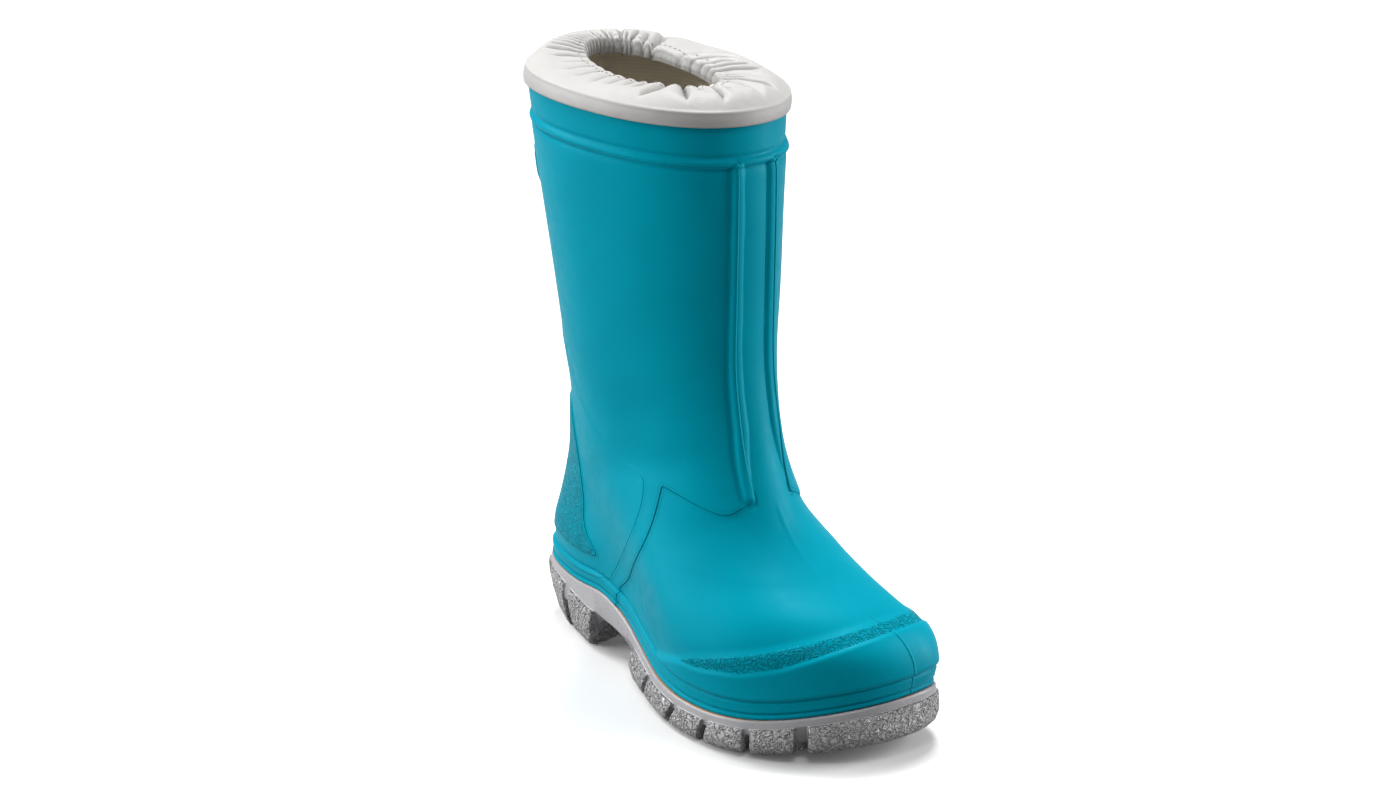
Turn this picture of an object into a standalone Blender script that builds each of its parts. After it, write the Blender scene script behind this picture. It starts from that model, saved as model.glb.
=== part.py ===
"""Rubber boot, for the right foot: moulded upper, lugged outsole, loose insole and gathered cuff.

Metres, +Z up, the toe towards -Y. The shapes are worked out in the boot's own measures: across (+X is
the inner side), forward (from the back of the heel to the toe) and up (from the floor).
"""

import math
from collections import namedtuple

import bmesh
import bpy
import numpy as np
from mathutils import Vector

# Driving sizes
FOOT_LENGTH = 0.195  # along the feather line, where the upper meets the sole
BALL_WIDTH = 0.084
HEEL_HEIGHT = 0.027  # floor to feather line at the heel
INSTEP_HEIGHT = 0.080  # floor to the bend between foot and shaft
RIM_HEIGHT = 0.240
TOP_DEPTH = 0.1138
TOP_WIDTH = 0.0884
SHAFT_AXIS = 0.052  # from the back of the heel forward to the middle of the top
CURVE_FULL, CURVE_GONE = 0.625, 1.5  # heights in INSTEP_HEIGHT between which the last's curve fades out
WALL = 0.0023
GAP = 0.0003  # between pieces that touch
SEAT_GAP = 0.0005  # between the sole's curved top and what stands on it

# Moulded steps of the upper
STEP_RUN = 0.0008  # how far a moulded step takes to rise
PANEL_RISE = 0.0008
RIB_RISE = 0.0014
RIB_WIDTH = 0.0050
RIB_FROM_CENTRE = 0.0084
RIB_SPREAD = 0.0023  # how much further out the ribs end than they start
RIB_SPREAD_UP, RIB_END = 1.40, 1.10  # where the ribs start to spread and where they end, in INSTEP_HEIGHT
RIB_DROP = 0.0060  # ridge down to the ribs' upper ends
PANEL_DROP = 0.0030  # ridge down to the raised panels
PATCH_RISE = 0.0009
BUMPER_RISE = 0.0019
BEAD_RISE = 0.0007
RIDGE_RISE = 0.0009
RIDGE_DROP = 0.0196  # rim down to the middle of the ridge round the top
RIDGE_WIDTH = 0.0030
FOXING_HEIGHT = 0.0072  # feather line up to the line that runs round the foot

# Outsole
EDGE_OUT = 0.0019  # how far the sole's strip stands out past the feather line
LUG_OUT = 0.0031  # the lugs' upper edges, out past the feather line
LUG_IN = 0.0034  # the lugs' feet, inside the feather line
GROOVE_OUT = 0.0015  # the gaps between lugs, at the strip
GROOVE_IN = 0.0020  # the gaps between lugs, at their floors
STRIP_HEIGHT = 0.0050
LUG_CHAMFER = 0.0006
GROOVE_DEPTH = 0.0050
WALL_RUN = 0.0008  # how far a lug's end wall takes to rise
CHEVRON = 0.0070  # how far the lugs' lines swing towards the toe in the middle
CHEVRON_ROWS = 5  # the swing grows over this many rows from each end
SIDE_BLOCK, CENTRE_BLOCK = 0.44, 0.24  # where the blocks' inner and outer edges lie, in the half width
BLOCK_RUN = 0.03
HEEL_ROW, TOE_ROW = 0.028, 0.965  # first and last row across the sole, in FOOT_LENGTH
ROW_STEP = 0.033

# Insole and cuff
INSOLE_THICKNESS = 0.0030
INSOLE_CLEARANCE = 0.0012
CLOTH = 0.0012
CUFF_HEIGHT = 0.0085
CUFF_ROLL = 0.0020  # how far the cuff's edge rises over the rim
CUFF_DOME = 0.0030
MOUTH_DEPTH = 0.072
MOUTH_WIDTH = 0.037
MOUTH_BACK = 0.0040  # the gathered mouth's middle from the shaft's
MOUTH_RISE = 0.0015  # the gathers stand this much over the rim
MOUTH_DROP = 0.0055  # the frill that turns down inside the gathered mouth
FRILL = 0.035  # thickness of the frill in the skirt's width

COLUMNS = 56
CUFF_COLUMNS = 64
INSOLE_COLUMNS = 52

# Rings of the upper from the feather line to the bend. Shares: back, front of FOOT_LENGTH;
# back_up, front_up of INSTEP_HEIGHT; half widths at heel, waist and ball of BALL_WIDTH.
Ring = namedtuple("Ring", "back back_up front front_up heel waist ball roundness")
FOOT_RINGS = (
    Ring(0.012, 0.338, 1.002, 0.338, 0.326, 0.300, 0.530, 2.42),
    Ring(0.018, 0.452, 1.004, 0.456, 0.326, 0.310, 0.532, 2.45),
    Ring(0.028, 0.575, 0.978, 0.572, 0.328, 0.322, 0.548, 2.50),
    Ring(0.041, 0.700, 0.912, 0.681, 0.314, 0.342, 0.528, 2.40),
    Ring(0.058, 0.850, 0.800, 0.788, 0.310, 0.352, 0.470, 2.30),
)
# Rings of the shaft. Shares: back, front of TOP_DEPTH from the shaft's axis; back_up, front_up of
# the height from the bend to the rim; half widths of TOP_WIDTH.
SHAFT_RINGS = (
    Ring(-0.336, 0.000, 0.748, -0.024, 0.306, 0.345, 0.389, 2.12),
    Ring(-0.320, 0.075, 0.640, 0.094, 0.330, 0.356, 0.345, 2.05),
    Ring(-0.314, 0.175, 0.577, 0.216, 0.352, 0.378, 0.345, 2.00),
    Ring(-0.338, 0.313, 0.536, 0.356, 0.391, 0.412, 0.376, 2.00),
    Ring(-0.378, 0.500, 0.525, 0.534, 0.435, 0.447, 0.414, 2.00),
    Ring(-0.436, 0.719, 0.518, 0.722, 0.479, 0.477, 0.438, 2.00),
    Ring(-0.502, 0.997, 0.500, 0.979, 0.523, 0.498, 0.478, 2.10),
)
# How much the heel's, the waist's and the ball's half widths count, along the foot
Width = namedtuple("Width", "along heel waist ball")
WIDTHS = (
    Width(0.00, 1, 0, 0), Width(0.15, 1, 0, 0), Width(0.36, 0, 1, 0), Width(0.63, 0, 0, 1),
    Width(1.00, 0, 0, 1),
)
# Height of the feather line in HEEL_HEIGHT, along FOOT_LENGTH
Feather = namedtuple("Feather", "along up")
FEATHER = (
    Feather(0.00, 1.00), Feather(0.18, 1.00), Feather(0.27, 1.055), Feather(0.34, 0.93),
    Feather(0.43, 0.72), Feather(0.54, 0.56), Feather(0.64, 0.53), Feather(0.73, 0.53),
    Feather(0.82, 0.59), Feather(0.89, 0.69), Feather(0.96, 0.84), Feather(1.00, 0.94),
)
# The last's curve: how far its middle lies to the inner side, and the inner half's width as a
# share of the outer half's, both along FOOT_LENGTH. Shift is a share of BALL_WIDTH.
Curve = namedtuple("Curve", "along shift inner")
LAST_CURVE = (
    Curve(0.00, 0.010, 1.00), Curve(0.31, 0.005, 0.95), Curve(0.62, -0.026, 0.86),
    Curve(0.82, -0.045, 0.90), Curve(1.00, 0.120, 1.02),
)
# Moulded outlines, seen from the side: along in FOOT_LENGTH, up in INSTEP_HEIGHT
Mark = namedtuple("Mark", "along up")
VAMP = (  # the lower area in front, below the shin's edge and before the quarter's line
    Mark(1.20, 1.14), Mark(0.665, 1.12), Mark(0.649, 1.071), Mark(0.633, 1.009),
    Mark(0.580, 1.040), Mark(0.534, 1.070), Mark(0.489, 1.094), Mark(0.494, 0.970),
    Mark(0.495, 0.855), Mark(0.472, 0.745), Mark(0.430, 0.628), Mark(0.386, 0.506),
    Mark(0.330, 0.400), Mark(0.330, -0.20), Mark(1.20, -0.20),
)
COUNTER = (  # the rough patch round the heel
    Mark(-0.20, 1.325), Mark(0.149, 1.325), Mark(0.174, 1.185), Mark(0.200, 0.981),
    Mark(0.212, 0.786), Mark(0.216, 0.652), Mark(0.275, 0.562), Mark(0.257, 0.519),
    Mark(0.100, 0.503), Mark(-0.20, 0.500),
)
GRIP = (  # the rough patch high on the back, up in RIM_HEIGHT
    Mark(-0.20, 0.893), Mark(0.064, 0.893), Mark(0.110, 0.778), Mark(-0.20, 0.778),
)
TOE_BAND = (  # everything under the toe band's upper edge
    Mark(0.640, 0.382), Mark(0.690, 0.440), Mark(0.760, 0.494), Mark(0.853, 0.570),
    Mark(0.915, 0.630), Mark(0.931, 0.648), Mark(1.200, 0.860), Mark(1.20, -0.20), Mark(0.500, -0.20),
    Mark(0.500, 0.260),
)
BUMPER = (  # everything under the toe band's lower edge
    Mark(0.640, 0.376), Mark(0.700, 0.389), Mark(0.804, 0.434), Mark(0.874, 0.490),
    Mark(0.938, 0.575), Mark(0.965, 0.612), Mark(1.200, 0.800), Mark(1.20, -0.20), Mark(0.500, -0.20),
    Mark(0.500, 0.260),
)
# Profile of the moulded band above the feather line: over in FOXING_HEIGHT, out in BEAD_RISE
Bead = namedtuple("Bead", "over out")
BEADS = (Bead(0.17, 1.0), Bead(0.26, 0.0), Bead(0.36, 0.5), Bead(0.86, 1.0), Bead(1.00, 0.0))
# Lugs along the sole's edge, in FOOT_LENGTH, and which of a row's blocks each has
Lug = namedtuple("Lug", "start end blocks")
SIDES, ROW, WHOLE = ("side",), ("side", "centre"), ("side", "between", "centre")
LUGS = (
    Lug(HEEL_ROW, 0.036, WHOLE), Lug(0.062, 0.132, ROW), Lug(0.160, 0.248, ROW),
    Lug(0.430, 0.514, SIDES), Lug(0.530, 0.632, ROW), Lug(0.650, 0.720, ROW),
    Lug(0.738, 0.810, ROW), Lug(0.826, 0.892, ROW), Lug(0.914, TOE_ROW, WHOLE),
)
# Underside: the tread's plane in HEEL_HEIGHT and the depth of its grooves in GROOVE_DEPTH
Tread = namedtuple("Tread", "along plane groove")
TREAD = (
    Tread(0.000, 0.20, 0.9), Tread(0.045, 0.00, 1.0), Tread(0.232, 0.00, 1.0), Tread(0.262, 0.34, 1.0),
    Tread(0.300, 0.50, 0.2), Tread(0.360, 0.36, 0.2), Tread(0.412, 0.14, 0.6), Tread(0.430, 0.00, 0.9),
    Tread(0.700, 0.00, 1.0), Tread(0.800, 0.03, 1.0), Tread(0.870, 0.13, 1.0), Tread(0.940, 0.28, 0.9),
    Tread(1.000, 0.42, 0.8),
)
# The cuff's rolled edge, past the rim: out in CLOTH, up in CUFF_ROLL
Roll = namedtuple("Roll", "out up")
ROLLS = (Roll(1.15, -0.50), Roll(0.75, 0.60), Roll(-0.15, 1.15))
# The skirt from the rim in to the mouth: share of its width, height in CUFF_DOME
Skirt = namedtuple("Skirt", "share dome")
SKIRT = (Skirt(0.10, 0.35), Skirt(0.30, 0.88), Skirt(0.55, 0.91), Skirt(0.80, 0.25), Skirt(0.95, 0.00))


def clear_scene():
    for obj in list(bpy.data.objects):
        bpy.data.objects.remove(obj, do_unlink=True)


def ring_sizes():
    """Every ring of the upper in metres, from the feather line to the rim."""
    rows = []
    for ring in FOOT_RINGS:
        rows.append((
            ring.back * FOOT_LENGTH, ring.back_up * INSTEP_HEIGHT,
            ring.front * FOOT_LENGTH, ring.front_up * INSTEP_HEIGHT,
            ring.heel * BALL_WIDTH, ring.waist * BALL_WIDTH, ring.ball * BALL_WIDTH, ring.roundness,
        ))
    shaft = RIM_HEIGHT - INSTEP_HEIGHT
    for ring in SHAFT_RINGS:
        rows.append((
            SHAFT_AXIS + ring.back * TOP_DEPTH, INSTEP_HEIGHT + ring.back_up * shaft,
            SHAFT_AXIS + ring.front * TOP_DEPTH, INSTEP_HEIGHT + ring.front_up * shaft,
            ring.heel * TOP_WIDTH, ring.waist * TOP_WIDTH, ring.ball * TOP_WIDTH, ring.roundness,
        ))
    return np.array(rows)


RINGS = ring_sizes()
RIM = len(RINGS) - 1
BEND = len(FOOT_RINGS) - 1


def softened(places, values, window):
    """A table's values along the foot at every hundredth, with the corners between them rounded off."""
    corners = np.interp(ALONG, places, values)
    soft = np.hanning(window) / np.hanning(window).sum()
    padded = np.pad(corners, window // 2, mode="reflect", reflect_type="odd")
    return np.convolve(padded, soft, mode="valid")


def column(table, name):
    return [getattr(row, name) for row in table]


def along_rings(level):
    """The ring's sizes at a level between two rings, on a smooth curve through them all."""
    level = np.clip(level, 0, RIM - 1e-9)
    at = level.astype(int)
    t = (level - at)[..., None]
    before, here = RINGS[np.maximum(at - 1, 0)], RINGS[at]
    after, next_after = RINGS[at + 1], RINGS[np.minimum(at + 2, RIM)]
    leave, arrive = (after - before) / 2, (next_after - here) / 2
    return (
        (2 * t**3 - 3 * t**2 + 1) * here + (t**3 - 2 * t**2 + t) * leave
        + (3 * t**2 - 2 * t**3) * after + (t**3 - t**2) * arrive
    )


ALONG = np.linspace(0, 1, 101)
FEATHER_LINE = softened(column(FEATHER, "along"), column(FEATHER, "up"), 11)
LAST_SHIFT = softened(column(LAST_CURVE, "along"), column(LAST_CURVE, "shift"), 25)
LAST_INNER = softened(column(LAST_CURVE, "along"), column(LAST_CURVE, "inner"), 25)
WIDTH_SHARES = [softened(column(WIDTHS, "along"), column(WIDTHS, part), 31) for part in ("heel", "waist", "ball")]


def middle_of_last(forward, up):
    """Across of the last's middle, which curves in the foot and is straight in the shaft."""
    shift = BALL_WIDTH * np.interp(forward / FOOT_LENGTH, ALONG, LAST_SHIFT)
    return shift * np.clip((CURVE_GONE - up / INSTEP_HEIGHT) / (CURVE_GONE - CURVE_FULL), 0, 1)


def surface(level, turn):
    """Points (across, forward, up) of the upper's plain outer form. Turn 0 is the middle of the back
    and pi the middle of the front; it goes up the inner side."""
    level, turn = np.broadcast_arrays(np.asarray(level, float), np.asarray(turn, float))
    back, back_up, front, front_up, heel, waist, ball, roundness = np.moveaxis(along_rings(level), -1, 0)
    u = (1 - np.cos(turn)) / 2
    shares = [np.interp(u, ALONG, share) for share in WIDTH_SHARES]
    half = heel * shares[0] + waist * shares[1] + ball * shares[2]
    half = half * np.clip(1 - np.abs(np.cos(turn)) ** roundness, 0, None) ** (1 / roundness)
    forward = back + u * (front - back)
    up = back_up + u * (front_up - back_up)
    feather = np.interp(u, ALONG, FEATHER_LINE)
    up = up + np.clip(1 - level / BEND, 0, None) * (feather - 1) * HEEL_HEIGHT
    inner = 1 - (1 - np.interp(u, ALONG, LAST_INNER)) * np.clip(1 - level / (BEND + 2), 0, None)
    side = np.sin(turn)
    across = np.sign(side) * half * np.where(side > 0, inner, 1) + middle_of_last(forward, up)
    return np.stack([across, forward, up], -1)


def outward(level, turn):
    """Unit normals of the plain form, pointing out."""
    small = 1e-3
    round_it = surface(level, turn + small) - surface(level, turn - small)
    up_it = surface(np.minimum(level + small, RIM), turn) - surface(np.maximum(level - small, 0), turn)
    normal = np.cross(up_it, round_it)
    normal = normal / np.linalg.norm(normal, axis=-1, keepdims=True)
    middle = surface(level, np.zeros_like(turn)) / 2 + surface(level, np.full_like(turn, math.pi)) / 2
    facing = np.sign(((surface(level, turn) - middle) * normal).sum(-1, keepdims=True))
    return normal * facing


def feather_height(forward):
    """Height of the feather line above the floor."""
    foot = RINGS[0]
    u = np.clip((forward - foot[0]) / (foot[2] - foot[0]), 0, 1)
    return foot[1] + u * (foot[3] - foot[1]) + (np.interp(u, ALONG, FEATHER_LINE) - 1) * HEEL_HEIGHT


def inside(marks, points, up_size):
    """Distance into an outline seen from the side, positive inside it."""
    corners = np.array([(mark.along * FOOT_LENGTH, mark.up * up_size) for mark in marks])
    at = points[..., 1:3]
    nearest = np.full(at.shape[:-1], np.inf)
    within = np.zeros(at.shape[:-1], bool)
    for a, b in zip(corners, np.roll(corners, -1, axis=0)):
        run = b - a
        share = np.clip(((at - a) @ run) / (run @ run), 0, 1)
        nearest = np.minimum(nearest, np.linalg.norm(at - a - share[..., None] * run, axis=-1))
        crosses = (a[1] > at[..., 1]) != (b[1] > at[..., 1])
        with np.errstate(divide="ignore", invalid="ignore"):
            within ^= crosses & (at[..., 0] < a[0] + (at[..., 1] - a[1]) * run[0] / run[1])
    return np.where(within, nearest, -nearest)


def in_ribs(points):
    """Distance into the two ribs down the shin."""
    top, low = RIM_HEIGHT - RIDGE_DROP - RIB_DROP, RIB_END * INSTEP_HEIGHT
    aside = np.abs(points[..., 0] - middle_of_last(points[..., 1], points[..., 2]))
    up = np.clip(points[..., 2], low, top)
    spread = np.clip((RIB_SPREAD_UP - up / INSTEP_HEIGHT) / (RIB_SPREAD_UP - RIB_END), 0, 1)
    line = RIB_FROM_CENTRE + RIB_SPREAD * spread
    away = np.hypot(aside - line, points[..., 2] - up)
    return np.where(points[..., 1] > SHAFT_AXIS, RIB_WIDTH / 2 - away, -FOOT_LENGTH)


def in_panels(points):
    """Distance into the raised area: shaft and quarter, outside the ribs and behind the vamp."""
    aside = np.abs(points[..., 0] - middle_of_last(points[..., 1], points[..., 2])) - RIB_FROM_CENTRE
    beside = np.where(points[..., 1] > SHAFT_AXIS, aside, FOOT_LENGTH)
    below_ridge = RIM_HEIGHT - RIDGE_DROP - PANEL_DROP - points[..., 2]
    return np.minimum(np.minimum(beside, -inside(VAMP, points, INSTEP_HEIGHT)), below_ridge)


def in_counter(points):
    return inside(COUNTER, points, INSTEP_HEIGHT)


def in_grip(points):
    return inside(GRIP, points, RIM_HEIGHT)


def above_foxing(points):
    return points[..., 2] - feather_height(points[..., 1]) - FOXING_HEIGHT


def in_toe_band(points):
    return np.minimum(inside(TOE_BAND, points, INSTEP_HEIGHT), above_foxing(points))


def in_bumper(points):
    return np.minimum(inside(BUMPER, points, INSTEP_HEIGHT), above_foxing(points))


def in_ridge(points):
    drop = RINGS[RIM][1] + (RINGS[RIM][3] - RINGS[RIM][1]) * np.clip(
        (points[..., 1] - RINGS[RIM][0]) / (RINGS[RIM][2] - RINGS[RIM][0]), 0, 1
    ) - points[..., 2]
    return RIDGE_WIDTH / 2 - np.abs(drop - RIDGE_DROP)


RAISED = (
    (in_panels, PANEL_RISE), (in_ribs, RIB_RISE), (in_counter, PATCH_RISE), (in_grip, PATCH_RISE),
    (in_toe_band, PATCH_RISE), (in_bumper, BUMPER_RISE - PATCH_RISE), (in_ridge, RIDGE_RISE),
)


def relief(level, points):
    """How far the moulded steps stand out from the plain form."""
    out = np.zeros(points.shape[:-1])
    for field, rise in RAISED:
        out = out + rise * np.clip(field(points) / STEP_RUN, 0, 1)
    over = (points[..., 2] - feather_height(points[..., 1])) / FOXING_HEIGHT
    bead = np.interp(over, column(BEADS, "over"), column(BEADS, "out"))
    return out + BEAD_RISE * bead * (level < BEND / 2)


def score(bm, field):
    """Cuts the flat pattern's edges and faces along the line where the field is zero."""
    verts = list(bm.verts)
    cells = np.array([v.co for v in verts])
    values = dict(zip(verts, field(surface(cells[:, 1], cells[:, 0]))))
    low_row = LEVELS[len(BEADS) - 2] - 1e-6
    cut = [
        e for e in bm.edges
        if values[e.verts[0]] * values[e.verts[1]] < 0 and min(v.co.y for v in e.verts) >= low_row
    ]
    if not cut:
        return
    a = np.array([e.verts[0].co for e in cut])
    b = np.array([e.verts[1].co for e in cut])
    low, high = np.zeros(len(cut)), np.ones(len(cut))
    start = np.array([values[e.verts[0]] for e in cut])
    for _ in range(12):
        middle = (low + high) / 2
        at = a + (b - a) * middle[:, None]
        same = field(surface(at[:, 1], at[:, 0])) * start > 0
        low, high = np.where(same, middle, low), np.where(same, high, middle)
    on_line = set()
    for edge, share, first in zip(cut, (low + high) / 2, [e.verts[0] for e in cut]):
        _, vert = bmesh.utils.edge_split(edge, first, float(share))
        on_line.add(vert)
    for face in list(bm.faces):
        ends = [v for v in face.verts if v in on_line]
        if len(ends) == 2 and not any(e.verts[0] in ends and e.verts[1] in ends for e in face.edges):
            bmesh.utils.face_split(face, ends[0], ends[1])


def edge_of(field):
    """The two lines of a moulded step: where it starts to rise and where it is up."""
    return lambda points: field(points), lambda points: field(points) - STEP_RUN


def rows_of_levels():
    """Levels of the outer wall's rows: closer at the moulded lines round the foot and the top."""
    foot_step = RINGS[1][1] - RINGS[0][1]
    heights = [0] + [bead.over * FOXING_HEIGHT for bead in BEADS] + [FOXING_HEIGHT + STEP_RUN]
    low = [height / foot_step for height in heights]
    foot = list(np.arange(1.25, BEND, 0.42))
    shaft = list(np.arange(BEND, RIM - 1.01, 0.5)) + list(np.linspace(RIM - 1, RIM, 5))
    return low + foot + shaft


LEVELS = rows_of_levels()
INNER_LEVELS = [0.0, 0.5] + list(np.arange(1.0, RIM - 0.1, 0.75)) + [float(RIM)]


def to_world(points):
    """Turns (across, forward, up) into the scene's axes, with the toe towards -Y."""
    return np.stack([points[..., 0], -points[..., 1], points[..., 2]], -1)


def inner_surface(level, turn):
    return surface(level, turn) - WALL * outward(level, turn)


def upper_mesh():
    """The flat pattern of the outer wall is scored, wrapped to the last and closed by the inner wall."""
    bm = bmesh.new()
    turns = np.linspace(0, 2 * math.pi, COLUMNS + 1)
    grid = [[bm.verts.new((turn, level, 0)) for turn in turns] for level in LEVELS]
    for low, high in zip(grid, grid[1:]):
        for k in range(COLUMNS):
            bm.faces.new((low[k], high[k], high[k + 1], low[k + 1]))
    for field, _ in RAISED:
        for line in edge_of(field):
            score(bm, line)
    verts = list(bm.verts)
    cells = np.array([v.co for v in verts])
    plain = surface(cells[:, 1], cells[:, 0])
    normals = outward(cells[:, 1], cells[:, 0])
    wrapped = plain + relief(cells[:, 1], plain)[:, None] * normals
    for vert, place in zip(verts, to_world(wrapped)):
        vert.co = place
    outer_low, outer_high = grid[0][:-1], grid[-1][:-1]
    inner = []
    for level in INNER_LEVELS:
        ring = to_world(inner_surface(np.full(COLUMNS, level), turns[:-1]))
        inner.append([bm.verts.new(place) for place in ring])
    for k in range(COLUMNS):
        after = (k + 1) % COLUMNS
        for low, high in zip(inner, inner[1:]):
            bm.faces.new((low[after], high[after], high[k], low[k]))
        high_after = outer_high[after] if after else grid[-1][-1]
        low_after = outer_low[after] if after else grid[0][-1]
        bm.faces.new((inner[-1][k], inner[-1][after], high_after, outer_high[k]))
        bm.faces.new((inner[0][after], inner[0][k], outer_low[k], low_after))
    return finished(bm)


def finished(bm):
    """Merges the seam, splits faces to triangles and turns them all outwards."""
    bmesh.ops.remove_doubles(bm, verts=bm.verts, dist=1e-5)
    bmesh.ops.triangulate(bm, faces=bm.faces, quad_method="SHORT_EDGE", ngon_method="BEAUTY")
    bmesh.ops.recalc_face_normals(bm, faces=bm.faces)
    return bm


def outline(turn, out, up):
    """Points of the sole's outline, a distance out from the feather line, at given heights."""
    turn = np.asarray(turn, float)
    base = surface(np.zeros_like(turn), turn)
    normal = outward(np.zeros_like(turn), turn)
    flat = normal[..., :2] / np.linalg.norm(normal[..., :2], axis=-1, keepdims=True)
    plan = base[..., :2] + flat * np.asarray(out)[..., None]
    return np.concatenate([plan, np.broadcast_to(up, plan.shape[:-1])[..., None]], -1)


def turn_at(along):
    """The turn at which the feather line is a share of the foot's length forward."""
    return math.acos(1 - 2 * min(max(along, 0.0), 1.0))


def tread_at(along):
    place = np.clip(along, 0, 1)
    plane = HEEL_HEIGHT * np.interp(place, column(TREAD, "along"), column(TREAD, "plane"))
    groove = GROOVE_DEPTH * np.interp(place, column(TREAD, "along"), column(TREAD, "groove"))
    return plane, groove


def sole_stations():
    """Places along the sole, as (share of the length, blocks there): pairs at each lug's end walls."""
    run = WALL_RUN / FOOT_LENGTH
    stations = []
    for i, lug in enumerate(LUGS):
        if i:
            before = LUGS[i - 1].end + run
            pieces = max(1, round((lug.start - run - before) / ROW_STEP))
            stations += [(place, ()) for place in np.linspace(before, lug.start - run, pieces + 1)]
        pieces = max(2, round((lug.end - lug.start) / ROW_STEP))
        stations += [(place, lug.blocks) for place in np.linspace(lug.start, lug.end, pieces + 1)]
    return stations


def block_lines():
    """Places across the sole from edge to edge, as (share of the half width, block there)."""
    half = [
        (1.0, "side"), (SIDE_BLOCK + BLOCK_RUN, "side"), (SIDE_BLOCK, "between"),
        (CENTRE_BLOCK + BLOCK_RUN, "between"), (CENTRE_BLOCK, "centre"),
    ]
    return [(-w, block) for w, block in half] + [(w, block) for w, block in reversed(half)]


def sole_loop(turns, ends):
    """Once round the sole's edge as (turn, row, line): up the outer side, round the toe, down the
    inner side, round the heel."""
    n, m = len(turns), len(ends)
    outer = [(2 * math.pi - turns[i], i, 0) for i in range(n)]
    toe = [(math.pi - ends[j] * (math.pi - turns[-1]), n - 1, j) for j in range(1, m - 1)]
    inner = [(turns[i], i, m - 1) for i in range(n - 1, -1, -1)]
    heel = [(ends[j] * turns[0], 0, j) for j in range(m - 2, 0, -1)]
    return outer + toe + inner + heel


def outsole_mesh():
    """Top, side and underside share one ladder of rows, so that the sole is one closed form."""
    stations, lines = sole_stations(), block_lines()
    n, m = len(stations), len(lines)
    turns = [turn_at(share) for share, _ in stations]
    raised = np.array([[block in blocks for _, block in lines] for _, blocks in stations])
    loop = sole_loop(turns, [w for w, _ in lines])
    around = np.array([turn for turn, _, _ in loop])
    lugged = np.array([raised[i, j] for _, i, j in loop])
    forward = outline(around, np.zeros(len(loop)), 0.0)[:, 1]
    top = feather_height(forward) - SEAT_GAP
    plane, groove = tread_at(forward / FOOT_LENGTH)
    rings = [
        outline(around, np.full(len(loop), EDGE_OUT), top),
        outline(around, np.full(len(loop), EDGE_OUT), top - STRIP_HEIGHT),
        outline(around, np.where(lugged, LUG_OUT, GROOVE_OUT), top - STRIP_HEIGHT - LUG_CHAMFER),
    ]
    bottom_edge = outline(around, np.where(lugged, -LUG_IN, -GROOVE_IN), plane + np.where(lugged, 0, groove))
    bm = bmesh.new()
    made = [[bm.verts.new(place) for place in to_world(ring)] for ring in rings]
    edge = {(i, j): place for (_, i, j), place in zip(loop, bottom_edge)}
    tread = {}
    for i in range(n):
        left, right = edge[(i, 0)], edge[(i, m - 1)]
        swing = CHEVRON * min(i, n - 1 - i, CHEVRON_ROWS) / CHEVRON_ROWS
        for j, (w, _) in enumerate(lines):
            place = edge.get((i, j))
            if place is None:
                place = left + (right - left) * (w + 1) / 2
                place[1] += swing * (1 - w * w)
                here, deep = tread_at(place[1] / FOOT_LENGTH)
                place[2] = here + (0 if raised[i, j] else deep)
            tread[(i, j)] = bm.verts.new(to_world(place))
    for k, (_, i, j) in enumerate(loop):
        after = (k + 1) % len(loop)
        corner, next_corner = tread[(i, j)], tread[loop[after][1:]]
        for high, low in zip(made, made[1:]):
            bm.faces.new((high[k], low[k], low[after], high[after]))
        bm.faces.new((made[-1][k], corner, next_corner, made[-1][after]))
    for i in range(n - 1):
        for j in range(m - 1):
            bm.faces.new((tread[(i, j)], tread[(i + 1, j)], tread[(i + 1, j + 1)], tread[(i, j + 1)]))
    top_ring, side = made[0], n + m - 2
    for i in range(n - 1):
        across = side + n - 1 - i
        bm.faces.new((top_ring[i], top_ring[i + 1], top_ring[across - 1], top_ring[across]))
    bm.faces.new(top_ring[n - 1:side + 1])
    bm.faces.new(top_ring[side + n - 1:] + top_ring[:1])
    return finished(bm)


def insole_mesh():
    """A flat pad that follows the sole's top, a little inside the upper's wall."""
    turns = np.linspace(0, 2 * math.pi, INSOLE_COLUMNS, endpoint=False) + math.pi / INSOLE_COLUMNS
    low = outline(turns, np.full(INSOLE_COLUMNS, -WALL - INSOLE_CLEARANCE), 0.0)
    low[:, 2] = feather_height(low[:, 1])
    high = low + np.array([0, 0, INSOLE_THICKNESS])
    bm = bmesh.new()
    rings = [[bm.verts.new(place) for place in to_world(ring)] for ring in (low, high)]
    last = INSOLE_COLUMNS - 1
    for k in range(INSOLE_COLUMNS):
        after = (k + 1) % INSOLE_COLUMNS
        bm.faces.new((rings[0][k], rings[0][after], rings[1][after], rings[1][k]))
    for ring in rings:
        for k in range(INSOLE_COLUMNS // 2 - 1):
            bm.faces.new((ring[k], ring[k + 1], ring[last - 1 - k], ring[last - k]))
    return finished(bm)


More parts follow.
